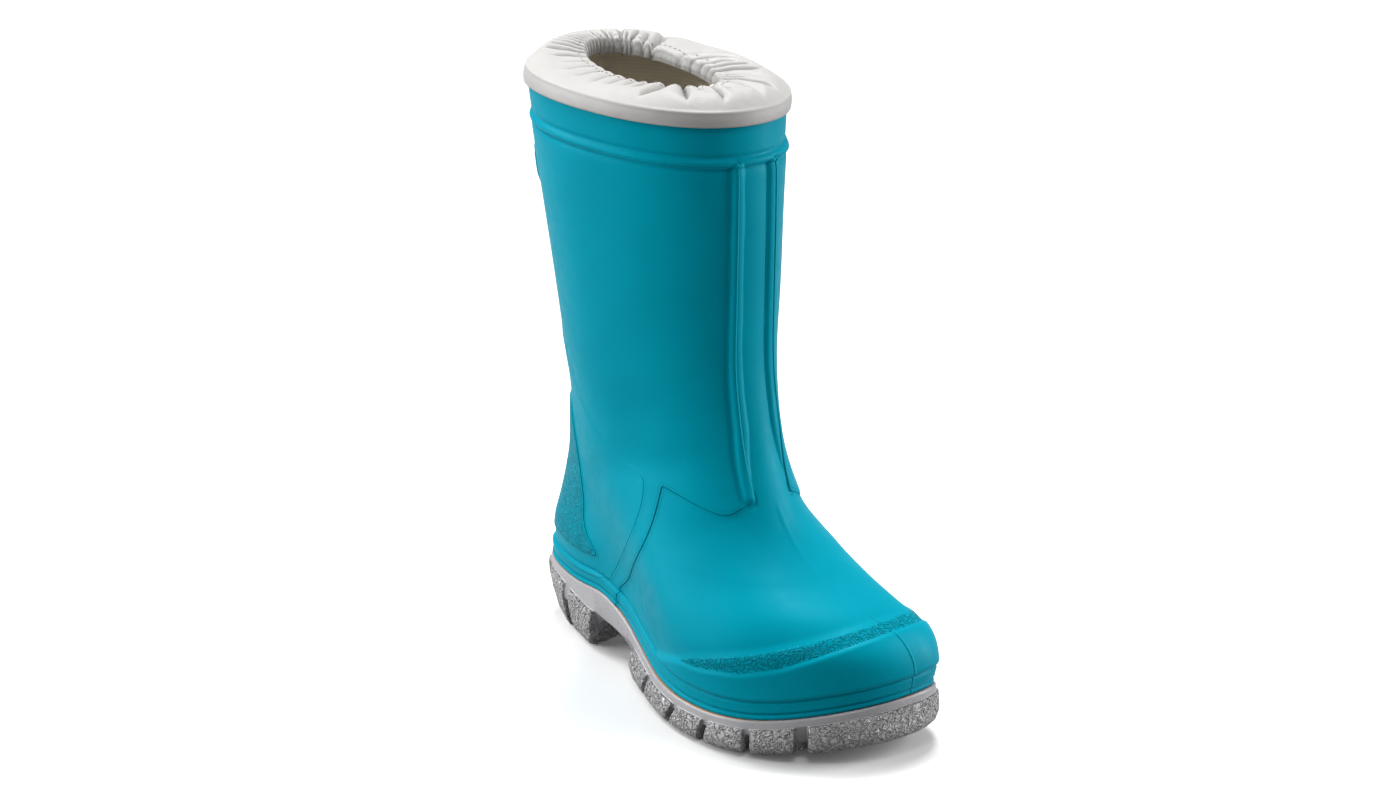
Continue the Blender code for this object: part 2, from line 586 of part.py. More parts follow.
def collar_mesh():
    """The cuff's section, from its lower edge over the rim to the gathered mouth, swept round the top."""
    turns = np.linspace(0, 2 * math.pi, CUFF_COLUMNS, endpoint=False)
    rim = surface(np.full(CUFF_COLUMNS, float(RIM)), turns)
    flat = outward(np.full(CUFF_COLUMNS, float(RIM)), turns) * np.array([1, 1, 0])
    flat = flat / np.linalg.norm(flat, axis=1, keepdims=True)
    band = CUFF_HEIGHT / (RINGS[RIM][1] - RINGS[RIM - 1][1])
    low_ring = surface(np.full(CUFF_COLUMNS, RIM - band), turns)
    mouth = np.stack([
        MOUTH_WIDTH / 2 * np.sin(turns),
        SHAFT_AXIS - MOUTH_BACK - MOUTH_DEPTH / 2 * np.cos(turns),
        np.full(CUFF_COLUMNS, rim[:, 2].mean() + MOUTH_RISE),
    ], axis=1)
    up = np.array([0, 0, 1.0])

    def skirt(share, lift):
        return rim + (mouth - rim) * share + up * (GAP + lift)

    rings = [low_ring + flat * GAP, low_ring + flat * (GAP + CLOTH)]
    rings += [rim + flat * (GAP + roll.out * CLOTH) + up * (roll.up * CUFF_ROLL) for roll in ROLLS]
    rings += [skirt(row.share, CLOTH + row.dome * CUFF_DOME) for row in SKIRT]
    rings += [skirt(1.0, CLOTH / 2), skirt(1.0, -MOUTH_DROP), skirt(1.0 - FRILL, -MOUTH_DROP)]
    rings += [skirt(row.share, row.dome * CUFF_DOME) for row in reversed(SKIRT)]
    rings += [rim + flat * GAP + up * GAP]
    bm = bmesh.new()
    made = [[bm.verts.new(place) for place in to_world(ring)] for ring in rings]
    for ring, following in zip(made, made[1:] + made[:1]):
        for k in range(CUFF_COLUMNS):
            after = (k + 1) % CUFF_COLUMNS
            bm.faces.new((ring[k], ring[after], following[after], following[k]))
    return finished(bm)


def add_part(name, bm, colour, roughness):
    mesh = bpy.data.meshes.new(name)
    bm.to_mesh(mesh)
    bm.free()
    material = bpy.data.materials.new(name)
    material.use_nodes = True
    shader = material.node_tree.nodes["Principled BSDF"]
    shader.inputs["Base Color"].default_value = (*colour, 1)
    shader.inputs["Roughness"].default_value = roughness
    shader.inputs["Metallic"].default_value = 0.0
    mesh.materials.append(material)
    mesh.shade_smooth()
    mesh.set_sharp_from_angle(angle=math.radians(35))
    obj = bpy.data.objects.new(name, mesh)
    bpy.context.scene.collection.objects.link(obj)
    return obj


def centre_on_floor(objects):
    """Moves all the pieces so that the origin is under the middle of the boot, on the floor."""
    corners = np.array([vert.co for obj in objects for vert in obj.data.vertices])
    middle = (corners.min(axis=0) + corners.max(axis=0)) / 2
    for obj in objects:
        for vert in obj.data.vertices:
            vert.co -= Vector((middle[0], middle[1], corners[:, 2].min()))


def main():
    clear_scene()
    objects = [
        add_part("upper", upper_mesh(), (0.0, 0.34, 0.45), 0.42),
        add_part("outsole", outsole_mesh(), (0.26, 0.26, 0.27), 0.7),
        add_part("insole", insole_mesh(), (0.20, 0.18, 0.15), 0.9),
        add_part("collar", collar_mesh(), (0.78, 0.76, 0.74), 0.5),
    ]
    centre_on_floor(objects)


main()
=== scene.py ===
"""Dresses the rubber boot: moulded upper, knitted lining, lugged sole, footbed and gathered cuff."""
import math
from collections import namedtuple

import bpy
import numpy as np
from mathutils import Matrix, Vector


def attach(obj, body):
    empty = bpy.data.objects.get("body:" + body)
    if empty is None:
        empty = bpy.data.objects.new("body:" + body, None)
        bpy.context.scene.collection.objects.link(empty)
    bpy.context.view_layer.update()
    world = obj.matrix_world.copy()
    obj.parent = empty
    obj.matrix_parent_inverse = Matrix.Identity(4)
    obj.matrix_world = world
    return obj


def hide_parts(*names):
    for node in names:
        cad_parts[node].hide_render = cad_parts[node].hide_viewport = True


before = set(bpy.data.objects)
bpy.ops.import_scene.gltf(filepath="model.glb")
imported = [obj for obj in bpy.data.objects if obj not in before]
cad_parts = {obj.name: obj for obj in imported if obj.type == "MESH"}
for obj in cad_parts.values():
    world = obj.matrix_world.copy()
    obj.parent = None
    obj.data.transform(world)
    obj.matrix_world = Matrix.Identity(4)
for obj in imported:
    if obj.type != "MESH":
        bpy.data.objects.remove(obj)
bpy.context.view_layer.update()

# Driving sizes
FOOT_LENGTH = 0.195  # along the feather line, where the upper meets the sole
BALL_WIDTH = 0.084
HEEL_HEIGHT = 0.027  # floor to feather line at the heel
INSTEP_HEIGHT = 0.080  # floor to the bend between foot and shaft
RIM_HEIGHT = 0.240
TOP_DEPTH = 0.1138
TOP_WIDTH = 0.0884
SHAFT_AXIS = 0.052  # from the back of the heel forward to the middle of the top
CURVE_FULL, CURVE_GONE = 0.625, 1.5  # heights in INSTEP_HEIGHT between which the last's curve fades out
WALL = 0.0023
GAP = 0.0003  # between pieces that touch

# Moulded steps of the upper
STEP_RUN = 0.0008  # how far a moulded step takes to rise
PANEL_RISE = 0.0008
RIB_RISE = 0.0014
RIB_WIDTH = 0.0050
RIB_FROM_CENTRE = 0.0084
RIB_SPREAD = 0.0023  # how much further out the ribs end than they start
RIB_SPREAD_UP, RIB_END = 1.40, 1.10  # where the ribs start to spread and where they end, in INSTEP_HEIGHT
RIB_DROP = 0.0060  # ridge down to the ribs' upper ends
PANEL_DROP = 0.0030  # ridge down to the raised panels
PATCH_RISE = 0.0009
BUMPER_RISE = 0.0019
BEAD_RISE = 0.0007
RIDGE_RISE = 0.0009
RIDGE_DROP = 0.0196  # rim down to the middle of the ridge round the top
RIDGE_WIDTH = 0.0030
FOXING_HEIGHT = 0.0072  # feather line up to the line that runs round the foot

# Outsole
EDGE_OUT = 0.0019  # how far the sole's strip stands out past the feather line
LUG_OUT = 0.0031  # the lugs' upper edges, out past the feather line
LUG_IN = 0.0034  # the lugs' feet, inside the feather line
GROOVE_OUT = 0.0015  # the gaps between lugs, at the strip
GROOVE_IN = 0.0020  # the gaps between lugs, at their floors
GROOVE_DEPTH = 0.0050
WALL_RUN = 0.0008  # how far a lug's end wall takes to rise
CHEVRON = 0.0070  # how far the lugs' lines swing towards the toe in the middle
CHEVRON_ROWS = 5  # the swing grows over this many rows of the plain solid, from each end
SIDE_BLOCK, CENTRE_BLOCK = 0.44, 0.24  # where the blocks' inner and outer edges lie, in the half width
BLOCK_RUN = 0.03
HEEL_ROW, TOE_ROW = 0.028, 0.965  # first and last row across the sole, in FOOT_LENGTH

# Insole and cuff
INSOLE_THICKNESS = 0.0030
INSOLE_CLEARANCE = 0.0012
CLOTH = 0.0012
CUFF_HEIGHT = 0.0085
MOUTH_DEPTH = 0.072
MOUTH_WIDTH = 0.037
MOUTH_BACK = 0.0040  # the gathered mouth's middle from the shaft's

# Rings of the upper from the feather line to the bend. Shares: back, front of FOOT_LENGTH;
# back_up, front_up of INSTEP_HEIGHT; half widths at heel, waist and ball of BALL_WIDTH.
Ring = namedtuple("Ring", "back back_up front front_up heel waist ball roundness")
FOOT_RINGS = (
    Ring(0.012, 0.338, 1.002, 0.338, 0.326, 0.300, 0.530, 2.42),
    Ring(0.018, 0.452, 1.004, 0.456, 0.326, 0.310, 0.532, 2.45),
    Ring(0.028, 0.575, 0.978, 0.572, 0.328, 0.322, 0.548, 2.50),
    Ring(0.041, 0.700, 0.912, 0.681, 0.314, 0.342, 0.528, 2.40),
    Ring(0.058, 0.850, 0.800, 0.788, 0.310, 0.352, 0.470, 2.30),
)
# Rings of the shaft. Shares: back, front of TOP_DEPTH from the shaft's axis; back_up, front_up of
# the height from the bend to the rim; half widths of TOP_WIDTH.
SHAFT_RINGS = (
    Ring(-0.336, 0.000, 0.748, -0.024, 0.306, 0.345, 0.389, 2.12),
    Ring(-0.320, 0.075, 0.640, 0.094, 0.330, 0.356, 0.345, 2.05),
    Ring(-0.314, 0.175, 0.577, 0.216, 0.352, 0.378, 0.345, 2.00),
    Ring(-0.338, 0.313, 0.536, 0.356, 0.391, 0.412, 0.376, 2.00),
    Ring(-0.378, 0.500, 0.525, 0.534, 0.435, 0.447, 0.414, 2.00),
    Ring(-0.436, 0.719, 0.518, 0.722, 0.479, 0.477, 0.438, 2.00),
    Ring(-0.502, 0.997, 0.500, 0.979, 0.523, 0.498, 0.478, 2.10),
)
# How much the heel's, the waist's and the ball's half widths count, along the foot
Width = namedtuple("Width", "along heel waist ball")
WIDTHS = (
    Width(0.00, 1, 0, 0), Width(0.15, 1, 0, 0), Width(0.36, 0, 1, 0), Width(0.63, 0, 0, 1),
    Width(1.00, 0, 0, 1),
)
# Height of the feather line in HEEL_HEIGHT, along FOOT_LENGTH
Feather = namedtuple("Feather", "along up")
FEATHER = (
    Feather(0.00, 1.00), Feather(0.18, 1.00), Feather(0.27, 1.055), Feather(0.34, 0.93),
    Feather(0.43, 0.72), Feather(0.54, 0.56), Feather(0.64, 0.53), Feather(0.73, 0.53),
    Feather(0.82, 0.59), Feather(0.89, 0.69), Feather(0.96, 0.84), Feather(1.00, 0.94),
)
# The last's curve: how far its middle lies to the inner side, and the inner half's width as a
# share of the outer half's, both along FOOT_LENGTH. Shift is a share of BALL_WIDTH.
Curve = namedtuple("Curve", "along shift inner")
LAST_CURVE = (
    Curve(0.00, 0.010, 1.00), Curve(0.31, 0.005, 0.95), Curve(0.62, -0.026, 0.86),
    Curve(0.82, -0.045, 0.90), Curve(1.00, 0.120, 1.02),
)
# Moulded outlines, seen from the side: along in FOOT_LENGTH, up in INSTEP_HEIGHT
Mark = namedtuple("Mark", "along up")
VAMP = (  # the lower area in front, below the shin's edge and before the quarter's line
    Mark(1.20, 1.14), Mark(0.665, 1.12), Mark(0.649, 1.071), Mark(0.633, 1.009),
    Mark(0.580, 1.040), Mark(0.534, 1.070), Mark(0.489, 1.094), Mark(0.494, 0.970),
    Mark(0.495, 0.855), Mark(0.472, 0.745), Mark(0.430, 0.628), Mark(0.386, 0.506),
    Mark(0.330, 0.400), Mark(0.330, -0.20), Mark(1.20, -0.20),
)
COUNTER = (  # the rough patch round the heel
    Mark(-0.20, 1.325), Mark(0.149, 1.325), Mark(0.174, 1.185), Mark(0.200, 0.981),
    Mark(0.212, 0.786), Mark(0.216, 0.652), Mark(0.275, 0.562), Mark(0.257, 0.519),
    Mark(0.100, 0.503), Mark(-0.20, 0.500),
)
GRIP = (  # the rough patch high on the back, up in RIM_HEIGHT
    Mark(-0.20, 0.893), Mark(0.064, 0.893), Mark(0.110, 0.778), Mark(-0.20, 0.778),
)
TOE_BAND = (  # everything under the toe band's upper edge
    Mark(0.640, 0.382), Mark(0.690, 0.440), Mark(0.760, 0.494), Mark(0.853, 0.570),
    Mark(0.915, 0.630), Mark(0.931, 0.648), Mark(1.200, 0.860), Mark(1.20, -0.20), Mark(0.500, -0.20),
    Mark(0.500, 0.260),
)
BUMPER = (  # everything under the toe band's lower edge
    Mark(0.640, 0.376), Mark(0.700, 0.389), Mark(0.804, 0.434), Mark(0.874, 0.490),
    Mark(0.938, 0.575), Mark(0.965, 0.612), Mark(1.200, 0.800), Mark(1.20, -0.20), Mark(0.500, -0.20),
    Mark(0.500, 0.260),
)
# Lugs along the sole's edge, in FOOT_LENGTH, and which of a row's blocks each has
Lug = namedtuple("Lug", "start end blocks")
SIDES, ROW, WHOLE = ("side",), ("side", "centre"), ("side", "between", "centre")
LUGS = (
    Lug(HEEL_ROW, 0.036, WHOLE), Lug(0.062, 0.132, ROW), Lug(0.160, 0.248, ROW),
    Lug(0.430, 0.514, SIDES), Lug(0.530, 0.632, ROW), Lug(0.650, 0.720, ROW),
    Lug(0.738, 0.810, ROW), Lug(0.826, 0.892, ROW), Lug(0.914, TOE_ROW, WHOLE),
)
# Underside: the tread's plane in HEEL_HEIGHT and the depth of its grooves in GROOVE_DEPTH
Tread = namedtuple("Tread", "along plane groove")
TREAD = (
    Tread(0.000, 0.20, 0.9), Tread(0.045, 0.00, 1.0), Tread(0.232, 0.00, 1.0), Tread(0.262, 0.34, 1.0),
    Tread(0.300, 0.50, 0.2), Tread(0.360, 0.36, 0.2), Tread(0.412, 0.14, 0.6), Tread(0.430, 0.00, 0.9),
    Tread(0.700, 0.00, 1.0), Tread(0.800, 0.03, 1.0), Tread(0.870, 0.13, 1.0), Tread(0.940, 0.28, 0.9),
    Tread(1.000, 0.42, 0.8),
)


def ring_sizes():
    """Every ring of the upper in metres, from the feather line to the rim."""
    rows = []
    for ring in FOOT_RINGS:
        rows.append((
            ring.back * FOOT_LENGTH, ring.back_up * INSTEP_HEIGHT,
            ring.front * FOOT_LENGTH, ring.front_up * INSTEP_HEIGHT,
            ring.heel * BALL_WIDTH, ring.waist * BALL_WIDTH, ring.ball * BALL_WIDTH, ring.roundness,
        ))
    shaft = RIM_HEIGHT - INSTEP_HEIGHT
    for ring in SHAFT_RINGS:
        rows.append((
            SHAFT_AXIS + ring.back * TOP_DEPTH, INSTEP_HEIGHT + ring.back_up * shaft,
            SHAFT_AXIS + ring.front * TOP_DEPTH, INSTEP_HEIGHT + ring.front_up * shaft,
            ring.heel * TOP_WIDTH, ring.waist * TOP_WIDTH, ring.ball * TOP_WIDTH, ring.roundness,
        ))
    return np.array(rows)


RINGS = ring_sizes()
RIM = len(RINGS) - 1
BEND = len(FOOT_RINGS) - 1


def softened(places, values, window):
    """A table's values along the foot at every hundredth, with the corners between them rounded off."""
    corners = np.interp(ALONG, places, values)
    soft = np.hanning(window) / np.hanning(window).sum()
    padded = np.pad(corners, window // 2, mode="reflect", reflect_type="odd")
    return np.convolve(padded, soft, mode="valid")


def column(table, name):
    return [getattr(row, name) for row in table]


def along_rings(level):
    """The ring's sizes at a level between two rings, on a smooth curve through them all."""
    level = np.clip(level, 0, RIM - 1e-9)
    at = level.astype(int)
    t = (level - at)[..., None]
    before, here = RINGS[np.maximum(at - 1, 0)], RINGS[at]
    after, next_after = RINGS[at + 1], RINGS[np.minimum(at + 2, RIM)]
    leave, arrive = (after - before) / 2, (next_after - here) / 2
    return (
        (2 * t**3 - 3 * t**2 + 1) * here + (t**3 - 2 * t**2 + t) * leave
        + (3 * t**2 - 2 * t**3) * after + (t**3 - t**2) * arrive
    )


ALONG = np.linspace(0, 1, 101)
FEATHER_LINE = softened(column(FEATHER, "along"), column(FEATHER, "up"), 11)
LAST_SHIFT = softened(column(LAST_CURVE, "along"), column(LAST_CURVE, "shift"), 25)
LAST_INNER = softened(column(LAST_CURVE, "along"), column(LAST_CURVE, "inner"), 25)
WIDTH_SHARES = [
    softened(column(WIDTHS, "along"), column(WIDTHS, part), 31) for part in ("heel", "waist", "ball")]


def middle_of_last(forward, up):
    """Across of the last's middle, which curves in the foot and is straight in the shaft."""
    shift = BALL_WIDTH * np.interp(forward / FOOT_LENGTH, ALONG, LAST_SHIFT)
    return shift * np.clip((CURVE_GONE - up / INSTEP_HEIGHT) / (CURVE_GONE - CURVE_FULL), 0, 1)


def surface(level, turn):
    """Points (across, forward, up) of the upper's plain outer form. Turn 0 is the middle of the back
    and pi the middle of the front; it goes up the inner side."""
    level, turn = np.broadcast_arrays(np.asarray(level, float), np.asarray(turn, float))
    back, back_up, front, front_up, heel, waist, ball, roundness = np.moveaxis(along_rings(level), -1, 0)
    u = (1 - np.cos(turn)) / 2
    shares = [np.interp(u, ALONG, share) for share in WIDTH_SHARES]
    half = heel * shares[0] + waist * shares[1] + ball * shares[2]
    half = half * np.clip(1 - np.abs(np.cos(turn)) ** roundness, 0, None) ** (1 / roundness)
    forward = back + u * (front - back)
    up = back_up + u * (front_up - back_up)
    feather = np.interp(u, ALONG, FEATHER_LINE)
    up = up + np.clip(1 - level / BEND, 0, None) * (feather - 1) * HEEL_HEIGHT
    inner = 1 - (1 - np.interp(u, ALONG, LAST_INNER)) * np.clip(1 - level / (BEND + 2), 0, None)
    side = np.sin(turn)
    across = np.sign(side) * half * np.where(side > 0, inner, 1) + middle_of_last(forward, up)
    return np.stack([across, forward, up], -1)


def outward(level, turn):
    """Unit normals of the plain form, pointing out."""
    small = 1e-3
    round_it = surface(level, turn + small) - surface(level, turn - small)
    up_it = surface(np.minimum(level + small, RIM), turn) - surface(np.maximum(level - small, 0), turn)
    normal = np.cross(up_it, round_it)
    normal = normal / np.linalg.norm(normal, axis=-1, keepdims=True)
    middle = surface(level, np.zeros_like(turn)) / 2 + surface(level, np.full_like(turn, math.pi)) / 2
    facing = np.sign(((surface(level, turn) - middle) * normal).sum(-1, keepdims=True))
    return normal * facing


def feather_height(forward):
    """Height of the feather line above the floor."""
    foot = RINGS[0]
    u = np.clip((forward - foot[0]) / (foot[2] - foot[0]), 0, 1)
    return foot[1] + u * (foot[3] - foot[1]) + (np.interp(u, ALONG, FEATHER_LINE) - 1) * HEEL_HEIGHT


def inside(marks, points, up_size):
    """Distance into an outline seen from the side, positive inside it."""
    corners = np.array([(mark.along * FOOT_LENGTH, mark.up * up_size) for mark in marks])
    at = points[..., 1:3]
    nearest = np.full(at.shape[:-1], np.inf)
    within = np.zeros(at.shape[:-1], bool)
    for a, b in zip(corners, np.roll(corners, -1, axis=0)):
        run = b - a
        share = np.clip(((at - a) @ run) / (run @ run), 0, 1)
        nearest = np.minimum(nearest, np.linalg.norm(at - a - share[..., None] * run, axis=-1))
        crosses = (a[1] > at[..., 1]) != (b[1] > at[..., 1])
        with np.errstate(divide="ignore", invalid="ignore"):
            within ^= crosses & (at[..., 0] < a[0] + (at[..., 1] - a[1]) * run[0] / run[1])
    return np.where(within, nearest, -nearest)


def in_ribs(points):
    """Distance into the two ribs down the shin."""
    top, low = RIM_HEIGHT - RIDGE_DROP - RIB_DROP, RIB_END * INSTEP_HEIGHT
    aside = np.abs(points[..., 0] - middle_of_last(points[..., 1], points[..., 2]))
    up = np.clip(points[..., 2], low, top)
    spread = np.clip((RIB_SPREAD_UP - up / INSTEP_HEIGHT) / (RIB_SPREAD_UP - RIB_END), 0, 1)
    line = RIB_FROM_CENTRE + RIB_SPREAD * spread
    away = np.hypot(aside - line, points[..., 2] - up)
    return np.where(points[..., 1] > SHAFT_AXIS, RIB_WIDTH / 2 - away, -FOOT_LENGTH)


def in_panels(points):
    """Distance into the raised area: shaft and quarter, outside the ribs and behind the vamp."""
    aside = np.abs(points[..., 0] - middle_of_last(points[..., 1], points[..., 2])) - RIB_FROM_CENTRE
    beside = np.where(points[..., 1] > SHAFT_AXIS, aside, FOOT_LENGTH)
    below_ridge = RIM_HEIGHT - RIDGE_DROP - PANEL_DROP - points[..., 2]
    return np.minimum(np.minimum(beside, -inside(VAMP, points, INSTEP_HEIGHT)), below_ridge)


def in_counter(points):
    return inside(COUNTER, points, INSTEP_HEIGHT)


def in_grip(points):
    return inside(GRIP, points, RIM_HEIGHT)


def above_foxing(points):
    return points[..., 2] - feather_height(points[..., 1]) - FOXING_HEIGHT


def in_toe_band(points):
    return np.minimum(inside(TOE_BAND, points, INSTEP_HEIGHT), above_foxing(points))


def in_bumper(points):
    return np.minimum(inside(BUMPER, points, INSTEP_HEIGHT), above_foxing(points))


def in_ridge(points):
    drop = RINGS[RIM][1] + (RINGS[RIM][3] - RINGS[RIM][1]) * np.clip(
        (points[..., 1] - RINGS[RIM][0]) / (RINGS[RIM][2] - RINGS[RIM][0]), 0, 1
    ) - points[..., 2]
    return RIDGE_WIDTH / 2 - np.abs(drop - RIDGE_DROP)


RAISED = (
    (in_panels, PANEL_RISE), (in_ribs, RIB_RISE), (in_counter, PATCH_RISE), (in_grip, PATCH_RISE),
    (in_toe_band, PATCH_RISE), (in_bumper, BUMPER_RISE - PATCH_RISE), (in_ridge, RIDGE_RISE),
)


def outline(turn, out, up):
    """Points of the sole's outline, a distance out from the feather line, at given heights."""
    turn = np.asarray(turn, float)
    base = surface(np.zeros_like(turn), turn)
    normal = outward(np.zeros_like(turn), turn)
    flat = normal[..., :2] / np.linalg.norm(normal[..., :2], axis=-1, keepdims=True)
    plan = base[..., :2] + flat * np.asarray(out)[..., None]
    return np.concatenate([plan, np.broadcast_to(up, plan.shape[:-1])[..., None]], -1)


def turn_at(along):
    """The turn at which the feather line is a share of the foot's length forward."""
    return math.acos(1 - 2 * min(max(along, 0.0), 1.0))


def tread_at(along):
    place = np.clip(along, 0, 1)
    plane = HEEL_HEIGHT * np.interp(place, column(TREAD, "along"), column(TREAD, "plane"))
    groove = GROOVE_DEPTH * np.interp(place, column(TREAD, "along"), column(TREAD, "groove"))
    return plane, groove


def sole_loop(turns, ends):
    """Once round the sole's edge as (turn, row, line): up the outer side, round the toe, down the
    inner side, round the heel."""
    n, m = len(turns), len(ends)
    outer = [(2 * math.pi - turns[i], i, 0) for i in range(n)]
    toe = [(math.pi - ends[j] * (math.pi - turns[-1]), n - 1, j) for j in range(1, m - 1)]
    inner = [(turns[i], i, m - 1) for i in range(n - 1, -1, -1)]
    heel = [(ends[j] * turns[0], 0, j) for j in range(m - 2, 0, -1)]
    return outer + toe + inner + heel


def to_world(points):
    """(across, forward, up) in the boot's measures to the frame of the CAD."""
    return np.stack([points[..., 0] + ACROSS, FORWARD - points[..., 1], points[..., 2]], -1)


def smooth(t):
    t = np.clip(t, 0, 1)
    return t * t * (3 - 2 * t)


def bell(distance, width):
    return np.exp(-(distance / width) ** 2)


def deselect():
    if bpy.context.object and bpy.context.object.mode != "OBJECT":
        bpy.ops.object.mode_set(mode="OBJECT")
    bpy.ops.object.select_all(action="DESELECT")


def select_only(piece):
    deselect()
    bpy.context.view_layer.objects.active = piece
    piece.select_set(True)


def places_of(piece):
    flat = np.empty(len(piece.data.vertices) * 3)
    piece.data.vertices.foreach_get("co", flat)
    return flat.reshape(-1, 3)


def piece_of(name, points, faces):
    """A piece from points of the boot and faces by their numbers."""
    mesh = bpy.data.meshes.new(name)
    mesh.from_pydata(to_world(points).tolist(), [], faces)
    piece = bpy.data.objects.new(name, mesh)
    bpy.context.scene.collection.objects.link(piece)
    return piece


def sheet_of_faces(name, columns, rows):
    """A grid primitive, and each vertex's column and row."""
    deselect()
    bpy.ops.mesh.primitive_grid_add(x_subdivisions=columns, y_subdivisions=rows, size=1)
    piece = bpy.context.object
    piece.name = piece.data.name = name
    flat = places_of(piece)
    col, row = (np.rint((flat[:, k] + 0.5) * n).astype(int) for k, n in enumerate((columns, rows)))
    return piece, col, row


def once_round(columns):
    """The turns of a sheet's columns, which run once round the boot."""
    return 2 * math.pi * (1 - np.arange(columns + 1) / columns)


def place(piece, points):
    """Puts the vertices at points of the boot and the object at the origin."""
    piece.data.vertices.foreach_set("co", to_world(points).ravel())
    piece.location = (0, 0, 0)
    piece.data.update()


def measure_uv(piece, wide, high):
    """Scales a sheet's UV map to its size in metres."""
    layer = piece.data.uv_layers.active.data
    flat = np.empty(len(layer) * 2)
    layer.foreach_get("uv", flat)
    layer.foreach_set("uv", (flat.reshape(-1, 2) * (wide, high)).ravel())


def keep(piece, name, values):
    """Stores numbers on the vertices: one each, or three."""
    values = np.asarray(values, float)
    kind, field = ("FLOAT", "value") if values.ndim == 1 else ("FLOAT_VECTOR", "vector")
    piece.data.attributes.new(name, kind, "POINT").data.foreach_set(field, values.ravel())


def weld(piece, closed=True):
    """Joins the seam, and turns the faces outwards where the form is closed."""
    select_only(piece)
    bpy.ops.object.mode_set(mode="EDIT")
    bpy.ops.mesh.select_all(action="SELECT")
    bpy.ops.mesh.remove_doubles(threshold=2e-6)
    if closed:
        bpy.ops.mesh.normals_make_consistent(inside=False)
    bpy.ops.object.mode_set(mode="OBJECT")
    bpy.ops.object.shade_smooth()


def applied(piece, kind, **settings):
    modifier = piece.modifiers.new(kind.title(), kind)
    for key, value in settings.items():
        setattr(modifier, key, value)
    select_only(piece)
    bpy.ops.object.modifier_apply(modifier=modifier.name)


# Where the boot's own measures start in the frame of the CAD: across and forward
ACROSS, FORWARD = 0.0017, 0.09563

# Moulded upper
UPPER_COLUMNS = 440
# Rows of the mesh: so many from one level up to the next, closest round the ridge
Rows = namedtuple("Rows", "start end count")
UPPER_ROWS = (
    Rows(0, 1, 38), Rows(1, 2, 15), Rows(2, 3, 17), Rows(3, 4, 20), Rows(4, 5, 18), Rows(5, 6, 18),
    Rows(6, 7, 12), Rows(7, 8, 7), Rows(8, 9, 5), Rows(9, 10, 9), Rows(10, 10.42, 9), Rows(10.42, 10.63, 18),
    Rows(10.63, 11, 6),
)
INNER_ROWS = 20
STEP_EASE = 0.0017  # how far a step takes to rise in the mesh; its crisp edge is in the finish
QUARTER_RISE = 0.00035
QUARTER = (  # below and behind the faint line from the heel up to the shin and down to the sole
    Mark(-0.20, 1.80), Mark(0.128, 1.72), Mark(0.172, 1.55), Mark(0.230, 1.386), Mark(0.303, 1.221),
    Mark(0.364, 1.149), Mark(0.435, 1.125), Mark(0.447, 1.084), Mark(0.458, 0.970), Mark(0.441, 0.805),
    Mark(0.341, 0.544), Mark(0.300, 0.400), Mark(-0.20, 0.400),
)
# The mould's parting line down the vamp, and where it fades: up in INSTEP_HEIGHT, along in FOOT_LENGTH
PARTING_RISE, PARTING_WIDTH = 0.00030, 0.0011
PARTING_UP, PARTING_ALONG = (1.1, 1.0), (0.86, 0.72)
RIB_CREST, RIDGE_CREST = 1.25, 1.3  # in RIB_RISE and RIDGE_RISE
RIB_TAPER = 0.026  # how far up from its low end a rib thins
RIB_END_WIDTH, RIB_END_CREST = 0.7, 0.4  # what is left at that end, as shares
BAND_EASE = 2.5  # the toe band's upper step, in STEP_EASE
RIB_GROOVE, RIB_GROOVE_WIDTH = 0.0005, 0.0008
RIM_TUCK = 0.0016  # how far the wall is drawn in where the cuff hides it
FAR = 0.006  # the finish knows distances to an edge up to this
# Ridges and grooves of the band over the feather line: over in FOXING_HEIGHT, out in BEAD_RISE
Bead = namedtuple("Bead", "over out")
FOXING = (
    Bead(0.00, 0.6), Bead(0.06, 1.1), Bead(0.20, 1.3), Bead(0.25, 0.3), Bead(0.31, -0.5), Bead(0.37, 0.7),
    Bead(0.45, 1.1), Bead(0.70, 1.2), Bead(0.90, 1.3), Bead(0.97, 0.4), Bead(1.04, -0.9), Bead(1.13, -0.3),
    Bead(1.28, 0.0),
)


def softer(marks, sharp=(), rounds=2):
    """The outline with its corners cut round, except the sharp ones."""
    ring = [(mark, i in sharp) for i, mark in enumerate(marks)]
    for _ in range(rounds):
        cut = []
        for (a, a_sharp), (b, b_sharp) in zip(ring, ring[1:] + ring[:1]):
            at = lambda t: Mark(a.along + (b.along - a.along) * t, a.up + (b.up - a.up) * t)
            cut.append((a, True) if a_sharp else (at(0.25), False))
            if not b_sharp:
                cut.append((at(0.75), False))
        ring = cut
    return tuple(mark for mark, _ in ring)


SHIN_CORNER = 6
VAMP, COUNTER, GRIP = softer(VAMP, {SHIN_CORNER}), softer(COUNTER), softer(GRIP)
QUARTER = softer(QUARTER)
